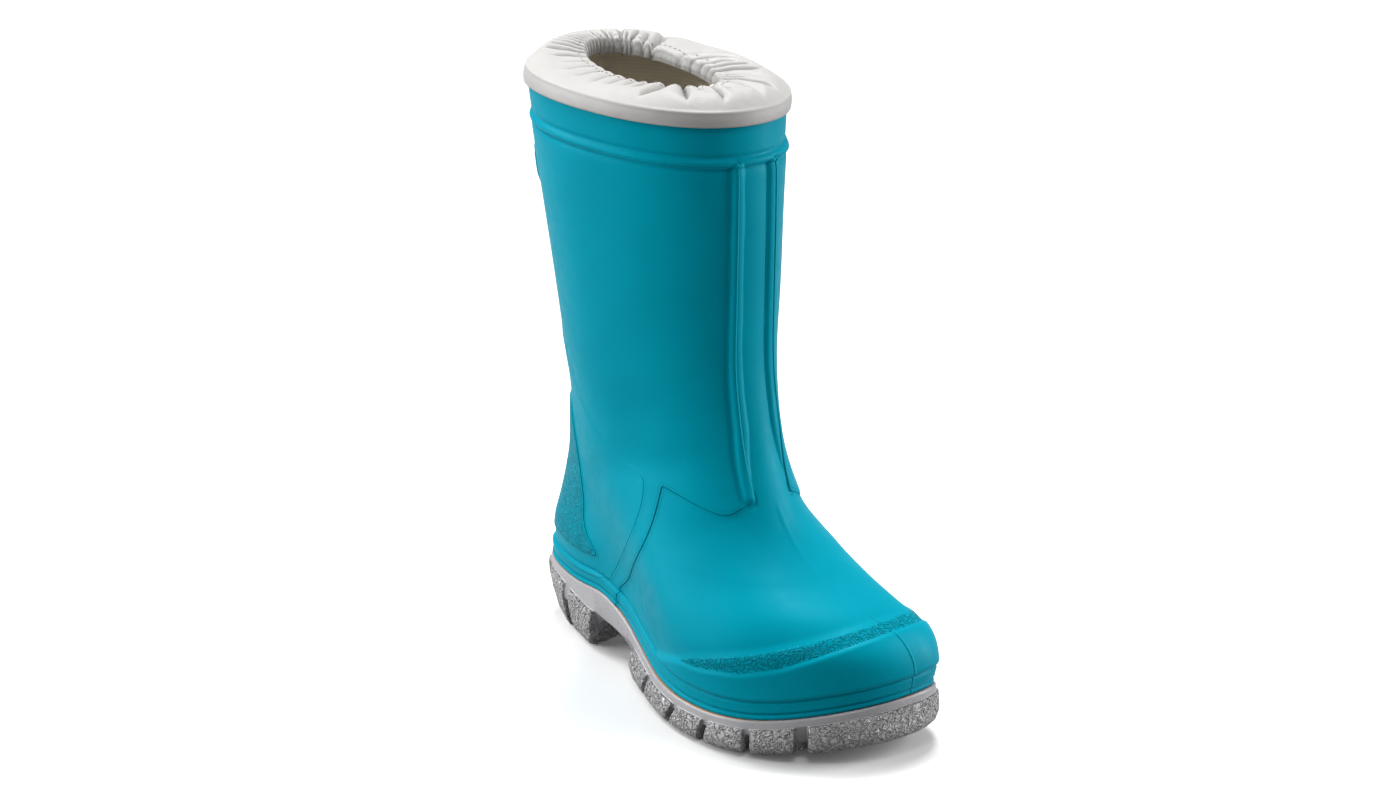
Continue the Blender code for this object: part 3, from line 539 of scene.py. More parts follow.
# Soft creases: side is -1 on the outer side and 1 on the inner; ends in FOOT_LENGTH and
# INSTEP_HEIGHT, wide and deep in WALL, minus for a ridge
Crease = namedtuple("Crease", "side along up along_end up_end wide deep")
CREASES = (
    Crease(-1, 0.50, 1.20, 0.30, 1.05, 3.0, 0.16), Crease(-1, 0.52, 1.34, 0.34, 1.28, 2.6, -0.12),
    Crease(-1, 0.30, 1.02, 0.22, 0.80, 3.0, 0.14), Crease(-1, 0.62, 0.98, 0.52, 0.80, 2.8, 0.12),
    Crease(1, 0.50, 1.18, 0.32, 1.02, 3.0, 0.18), Crease(1, 0.52, 1.32, 0.36, 1.24, 2.6, -0.12),
    Crease(1, 0.60, 0.96, 0.50, 0.78, 2.8, 0.12), Crease(-1, 0.20, 2.30, 0.26, 1.60, 4.0, 0.12),
    Crease(1, 0.22, 2.20, 0.26, 1.60, 4.0, 0.12),
)


def fading(value, gone, full):
    """1 at full and 0 at gone, with a smooth change between."""
    return smooth((gone - value) / (gone - full))


def half_round(distance, half):
    """A rounded ridge over a strip, from the distance in from its edges."""
    return np.sqrt(np.clip(1 - (1 - np.clip(distance, 0, half) / half) ** 2, 0, 1))


def from_middle(points):
    return points[..., 0] - middle_of_last(points[..., 1], points[..., 2])


def creased(points):
    """How far the soft creases stand out, minus in a trough."""
    out = np.zeros(points.shape[:-1])
    for crease in CREASES:
        a = np.array([crease.along * FOOT_LENGTH, crease.up * INSTEP_HEIGHT])
        b = np.array([crease.along_end * FOOT_LENGTH, crease.up_end * INSTEP_HEIGHT])
        at = points[..., 1:3] - a
        share = at @ (b - a) / ((b - a) @ (b - a))
        away = np.linalg.norm(at - np.clip(share, 0, 1)[..., None] * (b - a), axis=-1)
        on_side = smooth(points[..., 0] * crease.side / (3 * WALL))
        out -= crease.deep * WALL * bell(away, crease.wide * WALL) * on_side
    return out


def upper_relief(level, points):
    """Height of everything moulded into the wall, with soft steps."""
    up, forward = points[..., 2], points[..., 1]
    grown = smooth((up - RIB_END * INSTEP_HEIGHT) / RIB_TAPER)
    ribs = in_ribs(points) - (1 - RIB_END_WIDTH) * RIB_WIDTH * (1 - grown) / 2
    ridge = in_ridge(points)
    crest = RIB_CREST * (RIB_END_CREST + (1 - RIB_END_CREST) * grown)
    out = crest * RIB_RISE * half_round(ribs, RIB_WIDTH / 2)
    out += RIDGE_CREST * RIDGE_RISE * half_round(ridge, RIDGE_WIDTH / 2)
    for field, rise in RAISED:
        if field not in (in_ribs, in_ridge):
            ease = STEP_EASE * (BAND_EASE if field is in_toe_band else 1)
            out = out + rise * smooth((field(points) - STEP_RUN / 2) / ease + 0.5)
    out += QUARTER_RISE * smooth(inside(QUARTER, points, INSTEP_HEIGHT) / STEP_EASE + 0.5)
    beside = (np.abs(from_middle(points)) > RIB_FROM_CENTRE) & (forward > SHAFT_AXIS)
    out -= RIB_GROOVE * bell(ribs + RIB_GROOVE_WIDTH, RIB_GROOVE_WIDTH) * beside
    out -= RIB_GROOVE * bell(ridge + RIB_GROOVE_WIDTH, RIB_GROOVE_WIDTH)
    on_vamp = fading(up / INSTEP_HEIGHT, *PARTING_UP) * fading(forward / FOOT_LENGTH, *PARTING_ALONG)
    out += PARTING_RISE * bell(from_middle(points), PARTING_WIDTH) * on_vamp
    over = (up - feather_height(forward)) / FOXING_HEIGHT
    out += BEAD_RISE * np.interp(over, column(FOXING, "over"), column(FOXING, "out")) * (level < BEND / 2)
    hidden = smooth((up - RIM_HEIGHT + CUFF_HEIGHT) / CUFF_HEIGHT) * (level > BEND)
    return out + creased(points) - RIM_TUCK * hidden


def make_upper():
    """The boot's wall: its outer form from the feather line up, and back down inside."""
    outer = np.concatenate([np.linspace(*rows, endpoint=False) for rows in UPPER_ROWS] + [[RIM]])
    inner = np.linspace(RIM, 0, INNER_ROWS)
    levels = np.concatenate([outer, inner, [0.0]])
    piece, col, row = sheet_of_faces("moulded_upper", UPPER_COLUMNS, len(levels) - 1)
    turns = once_round(UPPER_COLUMNS)
    level, turn = np.meshgrid(levels, turns, indexing="ij")
    plain = surface(level, turn)
    normal = outward(level, turn)
    out = np.full(level.shape, -WALL)
    raised = np.r_[0:len(outer), len(levels) - 1]
    out[raised] = upper_relief(level[raised], plain[raised])
    points = plain + out[..., None] * normal
    place(piece, points[row, col])
    edges = np.stack([in_panels(plain), in_counter(plain), in_grip(plain)], -1)
    bands = np.stack([in_toe_band(plain), in_bumper(plain), inside(QUARTER, plain, INSTEP_HEIGHT)], -1)
    for name, distances in (("edges", edges), ("bands", bands), ("middle", from_middle(plain))):
        keep(piece, name, np.clip(distances, -FAR, FAR)[row, col])
    weld(piece)
    return piece


# Knitted lining
LINING_COLUMNS, LINING_ROWS = 120, 90
LINING_CLEAR, LINING_THICK = 0.0002, 0.0007
LINING_LOW, LINING_SHORT = 0.45, 0.02  # its lowest ring, and how far it ends below the rim's ring
ROUND = math.pi * (TOP_DEPTH + TOP_WIDTH) / 2  # once round the shaft's top


def make_lining():
    """A tube of knit on the wall's inner face."""
    piece, col, row = sheet_of_faces("knitted_lining", LINING_COLUMNS, LINING_ROWS)
    turns = once_round(LINING_COLUMNS)
    levels = np.linspace(LINING_LOW, RIM - LINING_SHORT, LINING_ROWS + 1)
    level, turn = np.meshgrid(levels, turns, indexing="ij")
    points = surface(level, turn) - (WALL + LINING_CLEAR) * outward(level, turn)
    place(piece, points[row, col])
    measure_uv(piece, ROUND, RIM_HEIGHT)
    weld(piece, closed=False)
    applied(piece, "SOLIDIFY", thickness=LINING_THICK, offset=-1)
    return piece


# Lugged sole
SOLE_ROW_STEP = 0.012
SIDE_LINES = (1.0, 0.96, 0.9, 0.8, 0.7, 0.6, 0.5)
BETWEEN_LINES, CENTRE_LINES = (0.38, 0.32), (0.16, 0.08, 0.0)
SOLE_EDGE = 0.0006
SEAT = 0.0001  # how far under the feather line the sole's upper face lies
LUG_STEP = 0.0004  # height of the lugs' upper chamfer
# Height of the smooth strip along the sole, in metres, by the share of the foot's length
STRIP = (
    (0.00, 0.0030), (0.12, 0.0034), (0.19, 0.0060), (0.24, 0.0092), (0.30, 0.0100), (0.36, 0.0080),
    (0.41, 0.0045), (0.45, 0.0030), (1.00, 0.0030),
)
GAP_OUT, GAP_IN = 0.0019, 0.0040  # the wall between two lugs: out at its top, in at its foot
SHALLOW = ((0.255, 0.425), (0.892, 0.914))  # the arch and the toe's gap lie near the strip, in FOOT_LENGTH
# A wall from its upper edge down: share of its height, then share of the way in to its foot for a
# lug, between two lugs and for a lug of the heel
Wall = namedtuple("Wall", "down lug between heel")
WALLS = (
    Wall(0.18, -0.05, 0.02, 0.05), Wall(0.40, -0.09, 0.08, 0.20), Wall(0.58, -0.07, 0.50, 0.40),
    Wall(0.78, 0.06, 0.80, 0.62), Wall(0.92, 0.34, 0.94, 0.86),
)
HEEL_WALLS = (0.16, 0.30)  # where the heel's walls pass into the others, in FOOT_LENGTH
# How much further back a wall's foot is than its top, by the place along, both in FOOT_LENGTH
SLANT = (
    (0.00, 0.0), (0.028, 0.0), (0.062, 0.020), (0.10, 0.030), (0.20, 0.030), (0.30, 0.0), (0.38, 0.0),
    (0.46, 0.030), (0.66, 0.030), (0.80, 0.0), (1.00, 0.0),
)
# The tread's plane toward the toe, in HEEL_HEIGHT: it rises less than in the plain solid
TOE_PLANES = ((0.800, 0.03), (0.870, 0.09), (0.940, 0.18), (1.000, 0.27))
LUG_BEVEL, BEVEL_OVER, SMOOTH_UNDER = 0.00055, math.radians(38), math.radians(50)
SWING_ROWS = 3 * CHEVRON_ROWS  # the rows of this finer ladder over which the swing grows


def sole_floor(along):
    """Height of the tread's plane and depth of its grooves."""
    plane, groove = tread_at(along)
    toe = HEEL_HEIGHT * np.interp(along, *zip(*TOE_PLANES))
    return np.where(along > TOE_PLANES[0][0], toe, plane), groove


def moved_back(turn, by):
    """The turn a share of the foot's length further back."""
    back = np.arccos(np.clip(np.cos(turn) + 2 * by, -1, 1))
    return np.where(turn > math.pi, 2 * math.pi - back, back)


def sole_stations():
    """Rows across the sole, as (share of the length, blocks there): pairs at each lug's end walls."""
    run = WALL_RUN / FOOT_LENGTH
    stations = []
    for i, lug in enumerate(LUGS):
        if i:
            before = LUGS[i - 1].end + run
            pieces = max(1, round((lug.start - run - before) / SOLE_ROW_STEP))
            stations += [(at, ()) for at in np.linspace(before, lug.start - run, pieces + 1)]
        pieces = max(2, round((lug.end - lug.start) / SOLE_ROW_STEP))
        stations += [(at, lug.blocks) for at in np.linspace(lug.start, lug.end, pieces + 1)]
    return stations


def sole_lines():
    """Lines along the sole from edge to edge, as (share of the half width, block there)."""
    half = [(w, "side") for w in (*SIDE_LINES, SIDE_BLOCK + BLOCK_RUN)]
    half += [(w, "between") for w in (SIDE_BLOCK, *BETWEEN_LINES, CENTRE_BLOCK + BLOCK_RUN)]
    half += [(w, "centre") for w in (CENTRE_BLOCK, *CENTRE_LINES)]
    return [(-w, block) for w, block in half] + [(w, block) for w, block in reversed(half[:-1])]


def sole_tread(foot, loop, lines, raised):
    """Points of the tread's grid, row by row, in from the lugs' feet."""
    n, m = raised.shape
    tread = np.zeros((n, m, 3))
    edge = {(i, j): point for (_, i, j), point in zip(loop, foot)}
    for i in range(n):
        left, right = edge[(i, 0)], edge[(i, m - 1)]
        swing = CHEVRON * smooth(min(i, n - 1 - i) / SWING_ROWS)
        for j, (w, _) in enumerate(lines):
            point = edge.get((i, j))
            if point is None:
                point = left + (right - left) * (w + 1) / 2
                point[1] += swing * (1 - w * w)
                here, deep = sole_floor(point[1] / FOOT_LENGTH)
                point[2] = here + (0 if raised[i, j] else deep)
            tread[i, j] = point
    return tread.reshape(-1, 3)


def sole_faces(loop, rings, n, m):
    """Faces from ring to ring, from the last ring to the tread, over the tread and across the top."""
    count = len(loop)
    faces = []
    at = lambda i, j: rings * count + i * m + j
    for k in range(count):
        after = (k + 1) % count
        for a in range(0, (rings - 1) * count, count):
            faces.append((a + k, a + count + k, a + count + after, a + after))
        a = (rings - 1) * count
        faces.append((a + k, at(*loop[k][1:]), at(*loop[after][1:]), a + after))
    for i in range(n - 1):
        faces += [(at(i, j), at(i + 1, j), at(i + 1, j + 1), at(i, j + 1)) for j in range(m - 1)]
    side = n + m - 2
    for i in range(n - 1):
        across = side + n - 1 - i
        faces.append((i, i + 1, across - 1, across))
    return faces + [tuple(range(n - 1, side + 1)), (*range(side + n - 1, count), 0)]


def make_sole():
    """The CAD's sole on a finer ladder of rows, with its edges rounded: rings round its side, from the
    strip down to the lugs' feet, and a grid for the tread."""
    stations, lines = sole_stations(), sole_lines()
    n, m = len(stations), len(lines)
    turns = [turn_at(share) for share, _ in stations]
    raised = np.array([[block in blocks for _, block in lines] for _, blocks in stations])
    loop = sole_loop(turns, [w for w, _ in lines])
    around = np.array([turn for turn, _, _ in loop])
    lugged = np.array([raised[i, j] for _, i, j in loop])
    count = len(loop)
    along = outline(around, np.zeros(count), 0.0)[:, 1] / FOOT_LENGTH
    top = feather_height(along * FOOT_LENGTH) - SEAT
    strip = np.interp(along, *zip(*STRIP))
    slant = np.interp(along, *zip(*SLANT))
    at_heel = 1 - smooth((along - HEEL_WALLS[0]) / (HEEL_WALLS[1] - HEEL_WALLS[0]))
    shallow = np.any([(along > a) & (along < b) for a, b in SHALLOW], axis=0)
    edge_out = np.where(lugged, LUG_OUT, np.where(shallow, GROOVE_OUT, GAP_OUT))
    edge_up = top - strip - LUG_STEP
    foot_out = -np.where(lugged, LUG_IN, np.where(shallow, GROOVE_IN, GAP_IN))
    plane, groove = sole_floor(outline(moved_back(around, slant), np.zeros(count), 0.0)[:, 1] / FOOT_LENGTH)
    foot_up = plane + np.where(lugged, 0, groove)
    rings = [
        outline(around, np.full(count, EDGE_OUT - SOLE_EDGE), top),
        outline(around, np.full(count, EDGE_OUT), top - SOLE_EDGE),
        outline(around, np.full(count, EDGE_OUT), top - strip),
        outline(around, edge_out, edge_up),
    ]
    smooth_rings = len(rings) - 1
    for wall in WALLS:
        lug_way = wall.lug + (wall.heel - wall.lug) * at_heel
        way = np.where(lugged, lug_way, np.where(shallow, wall.down, wall.between))
        rings.append(outline(moved_back(around, slant * wall.down), edge_out + (foot_out - edge_out) * way,
                             edge_up + (foot_up - edge_up) * wall.down))
    foot = outline(moved_back(around, slant), foot_out, foot_up)
    points = np.concatenate(rings + [sole_tread(foot, loop, lines, raised)])
    piece = piece_of("moulded_sole", points, sole_faces(loop, len(rings), n, m))
    on_rings = np.tile(lugged, (len(rings), 1)) & (np.arange(len(rings)) >= smooth_rings)[:, None]
    keep(piece, "lug", np.concatenate([on_rings.ravel(), raised.ravel()]))
    weld(piece)
    applied(piece, "BEVEL", width=LUG_BEVEL, segments=2, limit_method="ANGLE", angle_limit=BEVEL_OVER,
            use_clamp_overlap=True, harden_normals=False)
    select_only(piece)
    bpy.ops.object.shade_smooth_by_angle(angle=SMOOTH_UNDER)
    places = places_of(piece)
    keep(piece, "below", feather_height(FORWARD - places[:, 1]) - SEAT - places[:, 2])
    return piece


# Footbed
FOOTBED_COLUMNS = 160
# Rows of the footbed from its lower edge over the top to its middle: in as a share of the way to the
# middle, up in INSOLE_THICKNESS
Bed = namedtuple("Bed", "inset up")
BED = (
    Bed(1.0, 0.02), Bed(0.5, 0.02), Bed(0.06, 0.02), Bed(0.012, 0.10), Bed(0.0, 0.35), Bed(0.0, 0.75),
    Bed(0.012, 1.05), Bed(0.04, 1.18), Bed(0.10, 1.15), Bed(0.22, 1.02), Bed(0.40, 0.88), Bed(0.65, 0.80),
    Bed(1.0, 0.78),
)


def make_footbed():
    """The loose pad on the sole, rounded at its edge and hollowed towards its middle."""
    piece, col, row = sheet_of_faces("footbed", FOOTBED_COLUMNS, len(BED) - 1)
    turns = once_round(FOOTBED_COLUMNS)
    ring = outline(turns, np.full(len(turns), -WALL - INSOLE_CLEARANCE), 0.0)
    middle = np.stack([middle_of_last(ring[:, 1], INSTEP_HEIGHT / 3), ring[:, 1]], -1)
    points = np.zeros((len(BED), len(turns), 3))
    for k, bed in enumerate(BED):
        points[k, :, :2] = ring[:, :2] + (middle - ring[:, :2]) * bed.inset
        points[k, :, 2] = feather_height(ring[:, 1]) + bed.up * INSOLE_THICKNESS
    place(piece, points[row, col])
    weld(piece)
    return piece


# Gathered cuff
CUFF_MESH_COLUMNS = 600
BAND_ROWS, CORNER_ROWS, SKIRT_ROWS, EDGE_ROWS, FRILL_ROWS = 9, 8, 44, 6, 10
BAND_BULGE = 0.0003
CORNER_RADIUS = 0.0013
CORNER_FROM, CORNER_TO = 0.12, 1.25  # angles between which the corner turns, in radians
CLOTH_THICK = 0.0006
EDGE_RADIUS = 0.0018
HEM_DROP, FRILL_WAVE = 0.0016, 0.0018  # how far the hem turns down, and waves in and out
MOUTH_SINK = 0.0003  # how far the drawn cloth lies under the rim's height in front
FAR_RISE = 0.0012  # half of what it stands up by behind
FAR_TURN = 0.6  # where that is highest, in radians
# How high the cloth puffs up round the mouth, in CLOTH, by the turn in degrees
PUFFS = (
    (0, 4.2), (40, 4.3), (60, 3.7), (75, 2.9), (95, 3.6), (130, 3.6), (150, 4.0), (175, 4.7), (215, 4.7),
    (232, 4.2), (248, 2.8), (275, 1.9), (310, 2.0), (335, 3.9), (360, 4.2),
)
# Creases drawn in by the elastic: turn at the mouth and at the outer end, in degrees; reach as a
# share of the way from the mouth to the rim, depth as a share of the puff, and how the cloth between
# it and the next one is domed: 1 for a full round, less for a flatter one
Pucker = namedtuple("Pucker", "turn outer reach depth dome")
PUCKERS = (
    Pucker(1, 0, 0.45, 0.85, 1.0), Pucker(7, 7, 0.65, 0.95, 1.0), Pucker(11, 10, 0.40, 0.75, 1.0),
    Pucker(19, 15, 0.85, 1.00, 1.0), Pucker(23, 20, 0.55, 0.95, 1.0), Pucker(33, 28, 0.90, 1.00, 1.0),
    Pucker(37, 34, 0.50, 0.85, 1.0), Pucker(41, 40, 0.70, 0.90, 1.0), Pucker(52, 46, 0.60, 0.80, 1.0),
    Pucker(59, 49, 0.95, 1.05, 0.6), Pucker(86, 92, 0.70, 1.00, 0.9), Pucker(98, 103, 0.75, 0.95, 0.9),
    Pucker(109, 108, 0.60, 0.80, 0.9), Pucker(118, 112, 0.75, 0.95, 1.0), Pucker(126, 119, 0.85, 0.95, 0.9),
    Pucker(139, 136, 0.75, 0.95, 0.9), Pucker(144, 145, 0.45, 0.70, 1.0),
    Pucker(150, 154, 0.95, 0.95, 0.9), Pucker(160, 172, 0.96, 1.00, 0.9), Pucker(173, 184, 0.55, 0.60, 0.9),
    Pucker(187, 197, 0.95, 0.95, 0.9), Pucker(200, 204, 0.55, 0.55, 0.9), Pucker(212, 215, 0.95, 1.00, 0.9),
    Pucker(226, 240, 0.96, 1.00, 0.8), Pucker(240, 246, 0.60, 0.65, 0.9), Pucker(250, 251, 0.60, 0.70, 0.9),
    Pucker(260, 258, 0.75, 0.60, 0.9), Pucker(271, 265, 0.85, 0.55, 0.9), Pucker(281, 279, 0.80, 0.60, 0.9),
    Pucker(292, 290, 0.80, 0.55, 0.9), Pucker(302, 303, 0.60, 0.60, 0.9), Pucker(311, 317, 0.70, 0.70, 1.0),
    Pucker(318, 330, 0.85, 0.90, 1.0), Pucker(324, 337, 0.80, 0.95, 1.0), Pucker(330, 341, 0.70, 0.90, 1.0),
    Pucker(337, 345, 0.80, 0.95, 1.0), Pucker(344, 348, 0.60, 0.85, 1.0), Pucker(350, 352, 0.75, 0.95, 1.0),
    Pucker(356, 356, 0.50, 0.80, 1.0),
)
BACK_TUCK, TUCK_TURN = 0.0015, math.radians(300)  # how far the rim is drawn in under the cuff behind
# Fine folds at the mouth: how many, how uneven (times round, size), how high and where they start
FINE_FOLDS, FINE_UNEVEN, FINE_HIGH, FINE_FROM = 71, ((5, 2.0), (11, 1.3)), 0.00006, 0.75
# How soon a crease is at its full depth, all depths' factor, how the cloth bulges between two of
# them where it is round and where it is flatter
FADE, DEEPER, DOME_POWER, FLAT_POWER = 2.2, 1.2, 0.5, 6
FULL_AT = 0.38  # share of the skirt at which the cloth is fully puffed
LOWER_BY, LOWER_FROM = 0.20, 0.70  # how much lower it gets at the mouth, and from where
HEM_HANG, HEM_NARROW = 0.6, 0.2  # how much of a puff's height hangs below it; what its wave loses
CUFF_ACROSS = 0.050  # the sheet's width in its UV map


def puckered(turn, share):
    """What the creases leave of a puff, from 0 in a crease to 1 between them."""
    ways = np.array([min((1 - share) / pucker.reach, 1) for pucker in PUCKERS])
    at_mouth, outer, depths, domes = (
        np.array(column(PUCKERS, name)) for name in ("turn", "outer", "depth", "dome"))
    lines = at_mouth + (outer - at_mouth) * ways
    depths = DEEPER * depths * smooth((1 - ways) * FADE)
    degrees = np.degrees(turn) % 360
    after = np.searchsorted(lines, degrees) % len(lines)
    before = after - 1
    run = (lines[after] - lines[before]) % 360
    t = np.clip((degrees - lines[before]) % 360 / run, 0, 1)
    depth = depths[before] + (depths[after] - depths[before]) * smooth(t)
    round_top = (1 - (1 - 2 * np.minimum(t, 1 - t)) ** 2) ** DOME_POWER
    flat_top = 1 - (1 - 2 * np.minimum(t, 1 - t)) ** FLAT_POWER
    dome = domes[before] * round_top + (1 - domes[before]) * flat_top
    return 1 - depth * (1 - dome)


def make_cuff():
    """One sheet of cloth, from the band's lower edge over the rim and in to the mouth's hem, and the
    path of its row of stitches."""
    rows = BAND_ROWS + CORNER_ROWS + SKIRT_ROWS + EDGE_ROWS + FRILL_ROWS
    piece, col, row = sheet_of_faces("gathered_cuff", CUFF_MESH_COLUMNS, rows - 1)
    turns = once_round(CUFF_MESH_COLUMNS)
    ones = np.ones(len(turns))
    rim = surface(RIM * ones, turns)
    flat = outward(RIM * ones, turns) * np.array([1, 1, 0])
    flat = flat / np.linalg.norm(flat, axis=1, keepdims=True)
    band = CUFF_HEIGHT / (RINGS[RIM][1] - RINGS[RIM - 1][1])
    low = surface((RIM - band) * ones, turns)
    up = np.array([0, 0, 1.0])
    centre = np.array([0, SHAFT_AXIS - MOUTH_BACK, 0])
    mouth = np.stack([
        MOUTH_WIDTH / 2 * np.sin(turns), SHAFT_AXIS - MOUTH_BACK - MOUTH_DEPTH / 2 * np.cos(turns),
        rim[:, 2] - MOUTH_SINK + FAR_RISE * (1 + np.cos(turns - FAR_TURN)),
    ], axis=1)
    inwards = centre - mouth * np.array([1, 1, 0])
    inwards = inwards / np.linalg.norm(inwards, axis=1, keepdims=True)
    outside = GAP + CLOTH
    made = []
    tuck = BACK_TUCK * (1 + np.cos(turns - TUCK_TURN))[:, None] / 2
    rim = rim - flat * tuck
    for t in np.linspace(0, 1, BAND_ROWS):
        made.append(low + (rim - up * CORNER_RADIUS / 2 - low) * t
                    + flat * (outside + BAND_BULGE * math.sin(math.pi * t)))
    for a in np.linspace(CORNER_FROM, CORNER_TO, CORNER_ROWS):
        out = outside - CORNER_RADIUS * (1 - math.cos(a))
        made.append(rim + flat * out + up * (CORNER_RADIUS * (math.sin(a) - 0.5)))
    start = made[-1]
    puff = CLOTH * np.interp(np.degrees(turns), *zip(*PUFFS))
    fine = np.sin(FINE_FOLDS * turns + sum(size * np.sin(times * turns) for times, size in FINE_UNEVEN))
    for share in np.linspace(0, 1, SKIRT_ROWS + 1)[1:]:
        grown = math.sin(math.pi / 2 * min(share / FULL_AT, 1))
        grown = grown - LOWER_BY * smooth((share - LOWER_FROM) / (1 - LOWER_FROM))
        high = puff * grown * puckered(turns, share)
        high = high + FINE_HIGH * fine * smooth((share - FINE_FROM) / (1 - FINE_FROM))
        made.append(start + (mouth - start) * share + up * high[:, None])
    crest = made[-1]
    left = puckered(turns, 1.0)
    for a in np.linspace(0, math.pi / 2, EDGE_ROWS + 1)[1:]:
        made.append(crest + inwards * (EDGE_RADIUS * math.sin(a)) - up * (EDGE_RADIUS * (1 - math.cos(a))))
    turned = made[-1]
    for t in np.linspace(0, 1, FRILL_ROWS + 1)[1:]:
        wave = FRILL_WAVE * (left - 0.5) * (1 - HEM_NARROW * t) + FINE_HIGH * fine
        drop = (HEM_DROP + puff * left * HEM_HANG) * t
        made.append(turned + inwards * (wave * min(2 * t, 1))[:, None] - up * drop[:, None])
    points = np.stack(made)
    place(piece, points[row, col])
    measure_uv(piece, ROUND, CUFF_ACROSS)
    weld(piece, closed=False)
    applied(piece, "SOLIDIFY", thickness=CLOTH_THICK, offset=-1)
    return piece, points[BAND_ROWS + CORNER_ROWS + round(STITCH_SHARE * SKIRT_ROWS) - 1]


# Stitches that hold the elastic's channel: where across the skirt, length, gap and half thickness
STITCH_SHARE, STITCH, STITCH_GAP, STITCH_THICK = 0.90, 0.0015, 0.0010, 0.00024
# One stitch along its length: share of the length, share of the thickness
STITCH_RINGS = ((0.10, 0.65), (0.35, 1.0), (0.65, 1.0), (0.90, 0.65))
STITCH_SIDES = 6


def make_stitches(path):
    """A row of stitches along a closed path: rounded beads of thread in one piece."""
    run = np.concatenate([[0], np.cumsum(np.linalg.norm(np.diff(path, axis=0), axis=1))])
    count = int(run[-1] / (STITCH + STITCH_GAP))
    at = lambda distance: np.array([np.interp(distance, run, path[:, k]) for k in range(3)])
    verts, faces = [], []
    for k in range(count):
        start, end = at(run[-1] * k / count), at(run[-1] * k / count + STITCH)
        axis = (end - start) / np.linalg.norm(end - start)
        side = np.cross(axis, (0, 0, 1))
        side = side / np.linalg.norm(side)
        over = np.cross(side, axis)
        first = len(verts)
        verts.append(start)
        for share, thick in STITCH_RINGS:
            for turn in range(STITCH_SIDES):
                a = 2 * math.pi * turn / STITCH_SIDES
                verts.append(start + (end - start) * share + over * STITCH_THICK
                             + (side * math.cos(a) + over * math.sin(a)) * STITCH_THICK * thick)
        verts.append(end)
        last = len(verts) - 1
        for turn in range(STITCH_SIDES):
            after = (turn + 1) % STITCH_SIDES
            faces.append((first, first + 1 + turn, first + 1 + after))
            for ring in range(len(STITCH_RINGS) - 1):
                low = first + 1 + ring * STITCH_SIDES
                faces.append((low + turn, low + STITCH_SIDES + turn, low + STITCH_SIDES + after, low + after))
            low = last - STITCH_SIDES
            faces.append((low + turn, last, low + after))
    piece = piece_of("cuff_stitches", np.array(verts), faces)
    weld(piece)
    return piece


# Finishes
def fill(tree, made, values):
    """Sets a node's inputs by name or number; a socket is linked."""
    for key, value in values.items():
        if isinstance(value, bpy.types.NodeSocket):
            tree.links.new(value, made.inputs[key])
        else:
            made.inputs[key].default_value = value
    return made


def node(tree, kind, values=None, **settings):
    made = tree.nodes.new(kind)
    for key, value in settings.items():
        setattr(made, key, value)
    return fill(tree, made, values or {})


def maths(tree, operation, *values):
    return node(tree, "ShaderNodeMath", dict(enumerate(values)), operation=operation).outputs[0]


def times(tree, first, *others):
    for other in others:
        first = maths(tree, "MULTIPLY", first, other)
    return first


def ramp(tree, value, low, high, to_low=0.0, to_high=1.0, kind="SMOOTHSTEP"):
    return node(tree, "ShaderNodeMapRange", {
        "Value": value, "From Min": low, "From Max": high, "To Min": to_low, "To Max": to_high,
    }, interpolation_type=kind).outputs["Result"]


def mixed(tree, share, *colours):
    made = node(tree, "ShaderNodeMix", {0: share}, data_type="RGBA")
    wide = [colour if isinstance(colour, bpy.types.NodeSocket) else (*colour, 1) for colour in colours]
    return fill(tree, made, {6: wide[0], 7: wide[1]}).outputs[2]


def noise(tree, place_at, scale, detail, **more):
    return node(tree, "ShaderNodeTexNoise", {
        "Vector": place_at, "Scale": scale, "Detail": detail, **more}).outputs[0]


def group_of(name, inputs, outputs):
    """An empty node group. Inputs have a kind, a name and a value; outputs are named values."""
    tree = bpy.data.node_groups.new(name, "ShaderNodeTree")
    for kind, label, value in inputs:
        socket = tree.interface.new_socket(label, in_out="INPUT", socket_type="NodeSocket" + kind)
        if value is not None:
            socket.default_value = value
    for label in outputs:
        tree.interface.new_socket(label, in_out="OUTPUT", socket_type="NodeSocketFloat")
    return tree, tree.nodes.new("NodeGroupInput").outputs, tree.nodes.new("NodeGroupOutput").inputs


EDGE_RUN = 0.0006  # how far a step takes to rise in the finish


def moulded_edge_group():
    """Crisp edge of a moulded step: what the mesh's soft step still lacks, as a height in metres."""
    tree, given, out = group_of(
        "Moulded edge", [("Float", "Distance", 0.0), ("Float", "Rise", 0.001)], ["Height"])
    crisp, soft = (
        ramp(tree, given["Distance"], (STEP_RUN - run) / 2, (STEP_RUN + run) / 2)
        for run in (EDGE_RUN, STEP_EASE))
    lift = times(tree, maths(tree, "SUBTRACT", crisp, soft), given["Rise"])
    tree.links.new(lift, out["Height"])
    return tree


RIDGE_SHARE = 0.10  # how near the middle of the noise a winding ridge lies


def worm_grain_group():
    """The coarse texture of a mould: short winding ridges, as a height in metres."""
    tree, given, out = group_of("Worm grain", [
        ("Vector", "Place", None), ("Float", "Scale", 700.0), ("Float", "Depth", 0.0003),
    ], ["Height", "Ridges"])
    waves = noise(tree, given["Place"], given["Scale"], 1.5, Roughness=0.45, Distortion=0.6)
    away = maths(tree, "ABSOLUTE", maths(tree, "SUBTRACT", waves, 0.5))
    ridges = ramp(tree, away, RIDGE_SHARE, 0.0)
    tree.links.new(ridges, out["Ridges"])
    tree.links.new(times(tree, ridges, given["Depth"]), out["Height"])
    return tree


